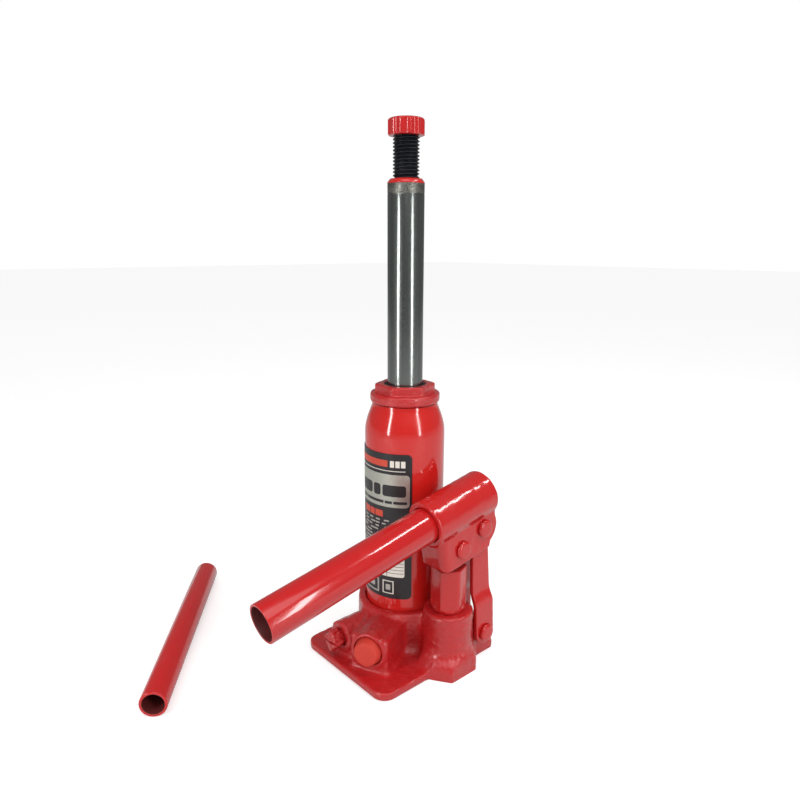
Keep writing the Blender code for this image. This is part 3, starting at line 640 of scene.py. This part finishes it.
def settle(made, body, slot, *nodes, matrix=Matrix.Identity(4)):
    """Puts a mesh drawn in millimetres in its place and lets it ride."""
    made.data.transform(Matrix.Diagonal((MM, MM, MM, 1)) @ matrix)
    made.data.update()
    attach(made, body)
    if nodes:
        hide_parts(*nodes)
    return made


def roughen(made, height, size, seed=0.0):
    """Moves the surface in and out by up to height, in lumps of that size."""
    points = points_of(made.data)
    normals = np.empty(points.size, np.float32)
    made.data.vertices.foreach_get("normal", normals)
    shift = np.array([noise.noise(Vector(p) / size + Vector((seed, 0, 0))) for p in points])
    move_points(made.data, points + normals.reshape(-1, 3) * shift[:, None] * height)


def lathe(name, profile, look, steps=128, closed=False, soft=40):
    """Turned about Z; the profile (r, z) runs down the outer side, and closes on the axis or on itself."""
    points, faces, rings = [], [], []
    for r, z in profile:
        if r < 1e-6:
            rings.append([len(points)])
            points.append((0, 0, z))
            continue
        rings.append(list(range(len(points), len(points) + steps)))
        points += [(r * math.cos(2 * math.pi * i / steps), r * math.sin(2 * math.pi * i / steps), z)
                   for i in range(steps)]
    pairs = list(zip(rings, rings[1:]))
    if closed:
        pairs.append((rings[-1], rings[0]))
    for upper, lower in pairs:
        for i in range(steps):
            j = (i + 1) % steps
            ring = [side[k % len(side)] for side, k in ((upper, i), (lower, i), (lower, j), (upper, j))]
            face = list(dict.fromkeys(ring))
            if len(face) > 2:
                faces.append(face)
    return form(name, points, faces, look, soft)


# -------------------------------------------------------------------- the base

def base_field(x, y, z):
    plan = []
    for corner, start in (((24.5, 23.0), 0), ((-50.5, 23.0), 90), ((-50.5, -40.0), 180)):
        plan += arc(corner, 9, start, start + 90, 8)
    plan += [(-22.5, -49.0), (-14.5, -61.0), (6.5, -61.0), (16.5, -51.6)]
    plan += arc((31.5, -49.6), 2, 270, 360, 4)
    outline = polygon(x, y, plan)
    body = slab_field(outline, z, 0, 5, 1.2)
    axis = np.hypot(x, y)
    collar = slab_field(axis - COLLAR_R, z, 0.5, COLLAR_TOP, 1.6)
    body = meld(body, collar, 7.0)
    u, v = turned_field(x, y, CAP_HEADING)
    pad = block(u, v, z, (0, -12.4, 0.5), (CAP_PAD, 12.4, 27.6), 2.2)
    boss = slab_field(disc(v, z, (0, CAP_Z), 11.6), u, 30, CAP_PAD + 0.8, 1.0)
    body = meld(body, meld(pad, boss, 1.5), 3.2)
    release = slab_field(disc(y, z, (RELEASE_Y, RELEASE_Z), 10.0), x, RELEASE_PAD, 0, 1.8)
    foot = block(x, y, z, (RELEASE_PAD + 1.5, RELEASE_Y - 9.6, 0.5), (0, RELEASE_Y + 9.6, RELEASE_Z), 1.5)
    body = meld(body, meld(release, foot, 1.0), 4.0)
    pump = slab_field(disc(x, y, (PUMP_X, LINK_Y), 15.5), z, 0.5, 39.4, 1.6)
    web = block(x, y, z, (PUMP_X - 9, LINK_Y, 0.5), (PUMP_X + 9, -15, 27), 2.0)
    sole = [(-20.0, -38.3), (-20.0, -50.2), (-13.2, -60.6), (5.4, -60.6), (12.6, -54.4), (12.6, -38.3)]
    pump = meld(pump, slab_field(polygon(x, y, sole), z, 0.5, 9.5, 2.5), 9.0)
    body = meld(body, meld(pump, web, 4.0), 5.5)
    lug = arc(LINK_FOOT, 8.3, 0, 180, 12) + [(13.2, 1.0), (32.6, 1.0), (32.6, 8.0)]
    body = meld(body, slab_field(polygon(x, z, lug), y, LINK_Y - 7.8, LINK_Y + 7.9, 1.0), 2.5)
    body = rounded(body, outline, 0.6)
    for cut, floor, edge in ((axis - TANK_R - 0.4, 23.4, 0.8), (axis - CYLINDER_SEAT_R, 17.2, 0.8),
                             (axis - 4.0, 8.2, 0.4), (disc(x, y, (PUMP_X, LINK_Y), 9.0), 19.6, 0.8),
                             (disc(x, y, (PUMP_X, LINK_Y), 3.6), 13.6, 0.4)):
        body = carve(body, np.maximum(cut, floor - z), edge)
    body = carve(body, np.maximum(disc(v, z, (0, CAP_Z), CAP_R + 0.25), CAP_PAD - 4.0 - u), 0.5)
    body = carve(body, np.maximum(disc(y, z, (RELEASE_Y, RELEASE_Z), 5.5), x + 40.0), 0.8)
    return carve(body, disc(x, z, LINK_FOOT, 3.8) + 0 * y, 0.5)


def make_base():
    low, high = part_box("base_casting")
    margin = 1.5
    made = skin("base_casting_skin", base_field, [c / MM - margin for c in low],
                [c / MM + margin for c in high], 0.72, CAST_PAINT)
    flat_foot(made)
    settle(made, "base", "red_paint", "base_casting")


def flat_foot(made):
    """Cast lumps everywhere but on the machined underside."""
    flat = points_of(made.data)
    under = flat[:, 2] < 0.6
    roughen(made, 0.30, 4.2)
    roughen(made, 0.21, 1.7, 7.0)
    points = points_of(made.data)
    points[under] = flat[under]
    low, high = (np.array(corner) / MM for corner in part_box("base_casting"))
    move_points(made.data, np.clip(points, low, high))


# ------------------------------------------------------------ tank, nut and ram

def make_tank():
    profile = [(19.0, 163.6), (20.6, 163.7), (20.8, 162.0), (21.4, 160.6), (21.9, 159.2), (22.8, 157.0),
               (23.5, 155.0), (24.1, 153.0), (24.5, 151.5), (24.85, 150.0), (25.1, 148.5), (25.3, 146.8),
               (TANK_R, 145.0)]
    profile += [(TANK_R, z) for z in (120, 90, 60)]
    profile += [(TANK_R, 42 - 0.7 * i) for i in range(20)]
    profile += [(TANK_R - 0.1, 25.5), (TANK_R - 2.0, 25.5), (TANK_R - 2.0, 145), (22.6, 151),
                (20.4, 157.5), (19.0, 161.5)]
    made = lathe("reservoir_shell", profile, TANK_PAINT, 360, closed=True)
    for vertex in made.data.vertices:
        run_of_paint(vertex)
    settle(made, "base", "red_paint", "reservoir_tube")


RUNS = ((190.0, 38.6, 33.4, 1.7), (202.0, 37.6, 34.4, 1.4), (214.0, 38.2, 36.2, 1.2), (70.0, 38.0, 34.0, 1.5))


def run_of_paint(vertex):
    """Drops of thick paint that ran down to the collar: heading, top, bottom and width."""
    x, y, z = vertex.co
    radius = math.hypot(x, y)
    if radius < TANK_R - 0.5 or not 31 < z < 42:
        return
    for heading, top, bottom, width in RUNS:
        off = math.radians((math.degrees(math.atan2(y, x)) - heading + 180) % 360 - 180) * TANK_R
        past = max(z - top, bottom - z, 0)
        full = 0.6 + 0.4 * (top - z) / (top - bottom)
        radius += 0.75 * full * math.exp(-(2 * off / width) ** 2 - past ** 2)
    scale = radius / math.hypot(x, y)
    vertex.co = (x * scale, y * scale, z)


def nut_field(x, y, z):
    axis = np.hypot(x, y)
    flange = slab_field(axis - NUT_FLANGE_R, z, 164.1, 170.2, 1.5)
    body = slab_field(axis - 18.6, z, 150.2, 166.0, 1.0)
    crown = rounded(hexagon(*turned_field(x, y, NUT_HEADING), NUT_HEX_R), axis - NUT_ROUND_R, 0.8)
    body = meld(meld(flange, body, 0.4), slab_field(crown, z, 168.0, NUT_TOP, 0.9), 1.2)
    body = carve(body, axis - RAM_R - 0.45 + 0 * z, 0.6)
    return carve(body, np.maximum(axis - RAM_R - 2.1, NUT_TOP - 3.6 - z), 0.5)


def make_nut():
    made = skin("top_nut_skin", nut_field, (-23, -23, 149), (23, 23, 177), 0.45, CAST_PAINT)
    roughen(made, 0.18, 2.6, 3.0)
    settle(made, "base", "red_paint", "top_nut")


def make_ram():
    profile = [(8.15, RAM_TOP), (RAM_R - 1.4, RAM_TOP), (RAM_R, RAM_TOP - 2.0)]
    profile += [(RAM_R, RAM_TOP - 7.6), (RAM_R - 0.12, RAM_TOP - 7.9), (RAM_R - 0.12, RAM_TOP - 8.2),
                (RAM_R, RAM_TOP - 8.5), (RAM_R, PISTON_Z[1]), (PISTON_R, PISTON_Z[1]),
                (PISTON_R, PISTON_Z[0]), (6.0, PISTON_Z[0]),
                (6.0, 138.0), (0, 138.0), (0, 217.5), (8.15, 217.5)]
    made = lathe("ram_rod", profile, RAM_STEEL, 160, closed=True)
    settle(made, "ram", "bare_steel", "ram")
    band = [(8.25, RAM_TOP + 0.16), (RAM_R - 1.35, RAM_TOP + 0.16), (RAM_R + 0.06, RAM_TOP - 1.9),
            (RAM_R + 0.06, RAM_TOP - 2.5), (RAM_R - 0.1, RAM_TOP - 2.5), (RAM_R - 1.5, RAM_TOP - 0.2),
            (8.25, RAM_TOP - 0.2)]
    made = lathe("ram_top_paint", band, SMOOTH_PAINT, 160, closed=True, soft=60)
    settle(made, "ram", "red_paint")


# ----------------------------------------------------------- grown by node trees

def geometry_tree(name, sizes, counts=()):
    tree = bpy.data.node_groups.new(name, "GeometryNodeTree")
    for kind, given in (("NodeSocketFloat", sizes), ("NodeSocketInt", counts)):
        for label, value in given:
            socket(tree, "INPUT", label, kind, value)
    socket(tree, "INPUT", "Material", "NodeSocketMaterial")
    socket(tree, "OUTPUT", "Geometry", "NodeSocketGeometry")
    return tree, Wiring(tree)


def thread_tree():
    """Bar with a right-handed thread along Z, run out at both ends."""
    tree, w = geometry_tree("screw_thread", (("Radius", 0.0078), ("Length", 0.075), ("Pitch", 0.002),
                                             ("Depth", 0.0011)))
    bar = w.fill(w.node("GeometryNodeMeshCylinder", fill_type="NGON"), Vertices=72, Side_Segments=340,
                 Radius=w.given("Radius"), Depth=w.given("Length"))
    place = w.node("GeometryNodeInputPosition")
    apart = w.node("ShaderNodeSeparateXYZ", place)
    turn = w.math("DIVIDE", w.math("ARCTAN2", apart.outputs["Y"], apart.outputs["X"]), 2 * math.pi)
    phase = w.math("FRACT", w.math("SUBTRACT", w.math("DIVIDE", apart.outputs["Z"], w.given("Pitch")), turn))
    flank = w.math("ABSOLUTE", w.math("SUBTRACT", w.times(phase, 2.0), 1.0))
    flank = w.node("ShaderNodeMapRange", flank, 0.12, 0.86, 1.0, 0.0)
    half = w.times(w.given("Length"), 0.5)
    inward = w.math("SUBTRACT", half, w.math("ABSOLUTE", apart.outputs["Z"]))
    runout = w.math("SUBTRACT", 1.0, w.math("DIVIDE", inward, w.given("Pitch")))
    cut = w.times(w.math("MAXIMUM", flank, runout), w.given("Depth"))
    share = w.math("DIVIDE", w.math("SUBTRACT", w.given("Radius"), cut), w.given("Radius"))
    moved = w.node("ShaderNodeCombineXYZ", w.times(apart.outputs["X"], share),
                   w.times(apart.outputs["Y"], share), apart.outputs["Z"])
    finish_tree(w, w.move(bar.outputs["Mesh"], Position=moved))
    return tree


def finish_tree(w, geometry):
    whole = w.node("GeometryNodeRealizeInstances", geometry)
    smooth = w.node("GeometryNodeSetShadeSmooth", whole)
    painted = w.fill(w.node("GeometryNodeSetMaterial"), Geometry=smooth, Material=w.given("Material"))
    w.result(Geometry=painted)


def rows_tree():
    """Rows of short bars wrapped round the tank, in place of small print."""
    tree, w = geometry_tree("printed_rows", (("Width", 0.04), ("Row Pitch", 0.0022), ("Bar Height", 0.001),
                                             ("Thickness", 0.00008), ("Radius", 0.0257), ("Heading", 3.0),
                                             ("Middle", 0.08)), (("Rows", 8), ("Words", 6), ("Seed", 1)))
    tall = w.times(w.math("SUBTRACT", w.given("Rows"), 1.0), w.given("Row Pitch"))
    lines = w.node("GeometryNodeMeshGrid", w.given("Width"), tall, w.given("Words"), w.given("Rows"))
    bar = w.node("GeometryNodeMeshCube", (1, 1, 1), 6, 2, 2)
    cell = w.math("DIVIDE", w.given("Width"), w.given("Words"))
    stray = w.node("ShaderNodeCombineXYZ", w.times(cell, w.random(-0.5, 0.5)))
    size = w.node("ShaderNodeCombineXYZ", w.times(cell, w.random(0.5, 0.95)), w.given("Bar Height"),
                  w.given("Thickness"))
    bars = w.fill(w.node("GeometryNodeInstanceOnPoints"), Points=w.move(lines.outputs["Mesh"], Offset=stray),
                  Instance=bar.outputs["Mesh"], Scale=size)
    whole = w.node("GeometryNodeRealizeInstances", bars.outputs[0])
    apart = w.node("ShaderNodeSeparateXYZ", w.node("GeometryNodeInputPosition"))
    angle = w.math("ADD", w.given("Heading"), w.math("DIVIDE", apart.outputs["X"], w.given("Radius")))
    radius = w.math("ADD", w.given("Radius"), apart.outputs["Z"])
    round_it = w.node("ShaderNodeCombineXYZ", w.times(radius, w.math("COSINE", angle)),
                      w.times(radius, w.math("SINE", angle)),
                      w.math("ADD", w.given("Middle"), apart.outputs["Y"]))
    finish_tree(w, w.move(whole, Position=round_it))
    return tree


def grow(name, tree, look, **values):
    """Plain mesh of what a node tree makes with these inputs."""
    holder = add_object(name, bpy.data.meshes.new(name))
    step = holder.modifiers.new("grow", "NODES")
    step.node_group = tree
    values = {key.replace("_", " "): value for key, value in values.items()}
    values["Material"] = look
    for item in tree.interface.items_tree:
        if item.in_out == "INPUT" and item.name in values:
            step[item.identifier] = values[item.name]
    graph = bpy.context.evaluated_depsgraph_get()
    mesh = bpy.data.meshes.new_from_object(holder.evaluated_get(graph))
    bpy.data.objects.remove(holder)
    mesh.materials.clear()
    mesh.name = name
    return piece(name, mesh, look)


def saddle_field(x, y, z):
    axis = np.hypot(x, y)
    lobed = axis - (SADDLE_R - 0.42 + 0.42 * np.cos(12 * np.arctan2(y, x)))
    lobed = np.maximum(lobed, (axis + z - SADDLE_Z[1] - SADDLE_R + 1.1) * 0.7071)
    lobed = np.maximum(lobed, (axis - z + SADDLE_Z[0] - SADDLE_R + 0.6) * 0.7071)
    return slab_field(lobed, z, SADDLE_Z[0], SADDLE_Z[1], 0.5)


def make_screw():
    low, high = SCREW_Z
    made = grow("screw_thread", thread_tree(), THREAD_STEEL, Radius=SCREW_R * MM, Length=(high - low) * MM,
                Pitch=2 * MM, Depth=1.15 * MM)
    made.data.set_sharp_from_angle(angle=math.radians(60))
    made.data.transform(Matrix.Translation((0, 0, (high + low) / 2 * MM)))
    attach(made, "screw")
    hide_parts("extension_screw")
    spigot = [(0, low + 0.3), (4.9, low + 0.3), (4.9, low - 3.2), (4.7, low - 3.4), (0, low - 3.4)]
    settle(lathe("screw_spigot", spigot, THREAD_STEEL, 48), "screw", "dark_steel")
    made = skin("saddle", saddle_field, (-12, -12, SADDLE_Z[0] - 1), (12, 12, SADDLE_Z[1] + 1), 0.3,
                PRESSED_PAINT, 1)
    settle(made, "screw", "red_paint")


# -------------------------------------------------------------------- the label

def patch(name, look, areas, low, high):
    """Curved plates on the tank; an area is (start, end, bottom, top, corner) in degrees and millimetres."""
    points, faces = [], []
    for start, end, bottom, top, corner in areas:
        degree = math.degrees(1 / LABEL_R)
        at = [start + corner * degree * (1 - math.cos(math.radians(a))) for a in range(0, 91, 15)]
        at += [start + end - a for a in reversed(at)]
        inner = at[:7]
        count = max(int((end - start) / 3), 1)
        middle = [inner[-1] + (at[7] - inner[-1]) * i / count for i in range(1, count)]
        at = sorted(set(round(a, 5) for a in inner + middle + at[7:]))
        first = len(points)
        for a in at:
            t = min(a - start, end - a) / degree
            inset = corner - math.sqrt(max(corner ** 2 - (corner - min(t, corner)) ** 2, 0))
            c, s = math.cos(math.radians(a)), math.sin(math.radians(a))
            foot, head = bottom + inset, top - inset
            points += [(r * c, r * s, z) for r, z in ((low, foot), (high, foot), (high, head), (low, head))]
        for k in range(len(at) - 1):
            a, b = first + 4 * k, first + 4 * k + 4
            faces += [(a + i, b + i, b + (i + 1) % 4, a + (i + 1) % 4) for i in range(4)]
        last = first + 4 * (len(at) - 1)
        faces += [(first, first + 1, first + 2, first + 3), (last + 3, last + 2, last + 1, last)]
    return form(name, points, faces, look, 40)


def words(start, end, bottom, top, shares, gap=1.4, corner=0.15):
    """Row of plain blocks between two headings; shares are their relative widths."""
    unit = (end - start - gap * (len(shares) - 1)) / sum(shares)
    out = []
    for share in shares:
        out.append((start, start + unit * share, bottom, top, corner))
        start += unit * share + gap
    return out


def make_label():
    start, end = LABEL_EDGES
    bottom, top = LABEL_Z
    film = LABEL_R + FILM
    under, over = film - 0.05, film + 0.07

    def printed(name, look, areas, proud=over):
        settle(patch(name, look, areas, under, proud), "base", "label_film")

    made = patch("label_film", PRINT_BLACK, [(start, end, bottom, top, 3.2)], LABEL_R - 0.1, film)
    settle(made, "base", "label_film", "label")
    printed("label_panel", PRINT_SILVER, [(start + 3, end - 3, 101.6, 122.9, 2.4)])
    rows = [(start + 9, end - 9, 125.0, 125.45, 0.1)]
    rows += words(208, 229.4, 127.6, 131.8, (1, 1, 1), 1.8)
    rows += [(start + 9.5, end - 9.9, 54.6, 68.5, 1.3)]
    rows += [(196.5, 213.5, 42.6, 43.2, 0.1), (196.5, 213.5, 51.0, 51.6, 0.1),
             (196.5, 198.0, 43.0, 51.2, 0.1), (212.0, 213.5, 43.0, 51.2, 0.1)]
    printed("label_white_print", PRINT_WHITE, rows)
    reds = [(start + 12, 204.5, 127.6, 131.8, 0.4)] + words(158, 197, 94.4, 98.6, (3, 2, 3), 1.6, 0.3)
    printed("label_red_print", PRINT_RED, reds)
    dark = words(150, 230.5, 108.6, 116.0, (9, 4, 11), 3.2, 1.6)
    dark += words(150, 232, 103.8, 105.6, (5, 12, 4, 7), 1.8, 0.3)
    dark += words(64, 140, 108.6, 116.0, (10, 7), 3.2, 1.6)
    dark += [(start + 10.5, end - 11.0, z, z + 0.28, 0.05) for z in (57.0, 59.3, 61.6, 63.9, 66.2)]
    dark += [(a, a + 0.7, 54.9, 68.2, 0.05) for a in (92.0, 130.0, 172.0, 203.0)]
    printed("label_dark_print", PRINT_BLACK, dark, over + 0.05)
    shapes = [(163, 190, 42.0, 43.0, 0.3), (163, 190, 50.8, 51.8, 1.0), (163, 165.4, 42.4, 51.2, 0.3),
              (187.6, 190, 42.4, 51.2, 0.3), (171, 182, 45.2, 48.8, 0.8), (201.5, 208.5, 45.2, 49.0, 0.4)]
    printed("label_grey_print", PRINT_GREY, shapes)
    tree = rows_tree()
    for tag, heading, width, middle, seed in (("left", 100, 32, 83.0, 3), ("right", 170, 30, 82.0, 8)):
        made = grow("label_rows_" + tag, tree, PRINT_GREY, Width=width * MM, Row_Pitch=2.25 * MM,
                    Bar_Height=0.95 * MM, Thickness=0.16 * MM, Radius=film * MM,
                    Heading=math.radians(heading), Middle=middle * MM, Rows=10, Words=6, Seed=seed)
        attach(made, "base")


# --------------------------------------------------------------- pump and valves

def pump_field(x, y, z):
    u, v = turned_field(x - PUMP_X, y - LINK_Y, PUMP_HEADING)
    axis = np.hypot(u, v)
    flats = rounded(hexagon(u, v, PUMP_HEX_R), axis - PUMP_HEX_R + 0.25, 0.6)
    body = slab_field(flats, z, 41.5, 68.0, 0.6)
    body = meld(body, slab_field(axis - 10.4, z, 39.3, 41.9, 0.8), 1.0)
    body = meld(body, slab_field(axis - 8.5, z, 21.6, 44, 0.4), 0.8)
    return carve(body, axis - 6.15 + 0 * z, 0.5)


def plunger_field(x, y, z):
    u, v, w = x - PUMP_X, y - LINK_Y, z - PUMP_PIN[1]
    head = block(u, v, w, (-7.5, -6.9, -6.6), (7.5, 6.9, 6.2), 2.6)
    rod = slab_field(np.hypot(u, v) - PLUNGER_R, w, -57.5, -3, 0.6)
    body = meld(head, rod, 1.2)
    groove = np.maximum(4.3 - np.hypot(u, v), span(w, -54.4, -51.0))
    body = carve(body, groove, 0.2)
    eye = np.hypot(np.maximum(np.abs(u) - 1.5, 0), w) - PIN_BORE_R
    return carve(body, eye + 0 * v, 0.5)


def make_pump():
    made = skin("pump_body", pump_field, (PUMP_X - 12.5, LINK_Y - 12.5, 20.5),
                (PUMP_X + 12.5, LINK_Y + 12.5, 69.0), 0.45, PRESSED_PAINT)
    settle(made, "base", "red_paint", "pump_cylinder")
    made = skin("plunger_rod", plunger_field, (PUMP_X - 8.5, LINK_Y - 8.0, 23.5),
                (PUMP_X + 8.5, LINK_Y + 8.0, 89.2), 0.4, ROD_STEEL)
    settle(made, "plunger", "bare_steel", "pump_plunger")


def release_field(x, y, z):
    out, v, w = RELEASE_PAD - x, y - RELEASE_Y, z - RELEASE_Z
    axis = np.hypot(v, w)
    body = slab_field(axis - 5.0, out, -18.6, 7.9, 0.8)
    for a, b in ((v, w), (w, v)):
        wing = block(out, a, b, (1.5, -7.0, -1.6), (8.0, 7.0, 1.6), 1.0)
        body = meld(body, wing, 1.4)
    groove = np.maximum(3.8 - axis, span(out, -11.6, -9.0))
    body = carve(body, groove, 0.3)
    slot = block(out, v, w, (6.6, -9, -0.7), (9.5, 9, 0.7), 0.3)
    return carve(body, slot, 0.5)


def make_valves():
    made = skin("release_screw", release_field, (-61.0, RELEASE_Y - 8, RELEASE_Z - 8),
                (-32.5, RELEASE_Y + 8, RELEASE_Z + 8), 0.33, CAST_PAINT)
    roughen(made, 0.55, 2.4, 11.0)
    settle(made, "release_valve", "red_paint", "release_valve_screw")
    tip, rim = CAP_TIP_R, CAP_R - 0.1
    profile = [(0, 5.1), (tip - 1.4, 5.1), (tip - 0.8, 5.02), (tip - 0.3, 4.75), (tip, 4.3),
               (tip + 0.3, 3.2), (rim - 0.2, 0.8), (rim, 0), (rim, -2.8), (rim - 1.1, -3.4),
               (rim - 2.5, -3.4), (rim - 2.5, 2.4), (0, 2.4)]
    made = lathe("relief_plug", profile, PLUG, 96, soft=50)
    aim = (turn(CAP_HEADING, "Z") @ Matrix.Translation((CAP_PAD, 0, CAP_Z))
           @ turn(90, "Y"))
    settle(made, "base", "orange_plastic", "relief_valve_cap", matrix=aim)


# -------------------------------------------------------------- link and handle

def pin(name, at, half, body, node):
    top = half + 2.35
    head = [(0, top), (2.6, top - 0.02), (4.3, top - 0.1), (4.9, top - 0.3), (5.35, top - 0.75),
            (5.55, top - 1.3), (5.6, half + 0.25), (5.35, half), (3.5, half)]
    made = lathe(name, head + [(r, -z) for r, z in reversed(head)], PRESSED_PAINT, 64, soft=50)
    roughen(made, 0.10, 2.6, at[0])
    aim = Matrix.Translation((at[0], LINK_Y, at[1])) @ turn(90, "X")
    settle(made, body, "red_paint", node, matrix=aim)


def link_matrix():
    lean = math.atan2(LINK_FOOT[0] - LINK_HEAD[0], LINK_HEAD[1] - LINK_FOOT[1])
    return Matrix.Translation((LINK_FOOT[0], LINK_Y, LINK_FOOT[1])) @ Matrix.Rotation(-lean, 4, "Y")


def make_links():
    length = math.hypot(LINK_HEAD[0] - LINK_FOOT[0], LINK_HEAD[1] - LINK_FOOT[1])
    low_middle, high_middle, thick = 9.8, 6.8, 3.0
    outline = arc((0, 0), 7.95, 180, 360, 24) + [(7.95, 20)]
    outline += arc((0, length), 6.6, 0, 180, 24) + [(-7.95, 20)]

    def field(side):
        def plate(x, y, z):
            share = np.clip((z - 19.6) / 10.6, 0, 1)
            share = share * share * (3 - 2 * share)
            middle = low_middle + (high_middle - low_middle) * share
            across = np.abs(y * side - middle) * (1 - 0.08 * 4 * share * (1 - share)) - thick / 2 + 0.02
            body = rounded(polygon(x, z, outline), across, 0.55)
            for centre in (0, length):
                body = carve(body, np.hypot(x, z - centre) - PIN_BORE_R + 0 * y, 0.4)
            return body
        return plate

    for name, side in (("outer", -1), ("inner", 1)):
        low = (-9.0, -12.6, -9.0) if side < 0 else (-9.0, 4.2, -9.0)
        high = (9.0, -4.2, length + 8.0) if side < 0 else (9.0, 12.6, length + 8.0)
        made = skin("link_" + name, field(side), low, high, 0.42, PRESSED_PAINT)
        roughen(made, 0.10, 5.0, side * 5.0)
        settle(made, "link", "red_paint", "link_plate_" + name, matrix=link_matrix())


def socket_matrix():
    return (Matrix.Translation((LINK_HEAD[0], LINK_Y, LINK_HEAD[1]))
            @ turn(-HANDLE_TILT, "Y"))


def socket_field(u, v, w):
    start, end = SOCKET_U
    front, corner, floor = -36.3, 5.2, -15.1
    barrel = slab_field(disc(v, w, (0, HANDLE_W), SOCKET_R), u, start, end, 0.7)
    cheek = [(start + 0.4, 12), (start + 0.4, -2), (-36.4, -13.0), (-34.0, -14.4), (-26.0, floor)]
    cheek += [(3.5, floor)] + arc((0, 0), 12.2, -66, 20, 10) + [(end, 12)]
    reach = rounded(front - u, np.abs(v) - CHEEK_OUT, corner)
    cheeks = rounded(polygon(u, w, cheek), reach, 0.9)
    body = meld(barrel, cheeks, 1.0)
    body = carve(body, disc(v, w, (0, HANDLE_W), HANDLE_R + 0.25) + 0 * u, 0.5)
    inside = rounded(front + SHEET - u, np.abs(v) - CHEEK_OUT + SHEET, corner - SHEET)
    body = carve(body, np.maximum(inside, w - 10.0), 0.6)
    for low, high in ((-33.5, -24.5), (-10.5, 0.5)):
        fold = block(u, np.abs(v), w, (low, 10.2, 7.4), (high, 14.0, 8.6), 0.3)
        body = carve(body, fold, 0.8)
    t = math.radians(HANDLE_TILT)
    dx, dz = PUMP_PIN[0] - LINK_HEAD[0], PUMP_PIN[1] - LINK_HEAD[1]
    for at in ((0, 0), (dx * math.cos(t) + dz * math.sin(t), dz * math.cos(t) - dx * math.sin(t))):
        body = carve(body, disc(u, w, at, PIN_BORE_R) + 0 * v, 0.4)
    return body


def make_socket():
    made = skin("handle_socket_skin", socket_field, (-39.0, -15.5, -16.0), (14.5, 15.5, 32.0), 0.5,
                PRESSED_PAINT)
    roughen(made, 0.14, 4.5, 2.0)
    settle(made, "socket", "red_paint", "handle_socket", matrix=socket_matrix())
    pin("link_pin_top", LINK_HEAD, CHEEK_OUT + 0.3, "socket", "link_top_pin")
    pin("pump_pin_head", PUMP_PIN, CHEEK_OUT + 0.3, "socket", "pump_pin")
    pin("link_pin_base", LINK_FOOT, 11.6, "base", "link_base_pin")


def tube(name, radius, wall, start, end, look, inside):
    """Length of tube along Z with rounded rims and a darker bore."""
    bore = radius - wall
    rim = 0.4
    profile = []
    for corner, angles in (((radius - rim, end - rim), (90, 0)), ((radius - rim, start + rim), (0, -90)),
                           ((bore + rim, start + rim), (-90, -180)), ((bore + rim, end - rim), (180, 90))):
        profile += arc(corner, rim, angles[0], angles[1], 4)
    made = lathe(name, profile, look, 128, closed=True, soft=60)
    made.data.materials.append(inside)
    for face in made.data.polygons:
        if math.hypot(face.center.x, face.center.y) < bore + rim * 0.6:
            face.material_index = 1
    return made


def make_tubes():
    made = tube("handle_bar", HANDLE_R, 1.5, *HANDLE_U, TUBE_PAINT, TUBE_INSIDE)
    aim = socket_matrix() @ Matrix.Translation((0, 0, HANDLE_W)) @ turn(90, "Y")
    settle(made, "handle", "red_paint", "handle_tube", matrix=aim)
    made = tube("extension_bar", LOOSE_R, 1.7, 0, LOOSE_LENGTH, TUBE_PAINT, TUBE_INSIDE)
    aim = (Matrix.Translation((*LOOSE_NEAR, LOOSE_R)) @ turn(LOOSE_HEADING, "Z")
           @ turn(90, "Y"))
    settle(made, "extension", "red_paint", "extension_tube", matrix=aim)


make_camera()
make_studio()
dress_solids()
make_base()
make_tank()
make_nut()
make_ram()
make_screw()
make_label()
make_pump()
make_valves()
make_links()
make_socket()
make_tubes()
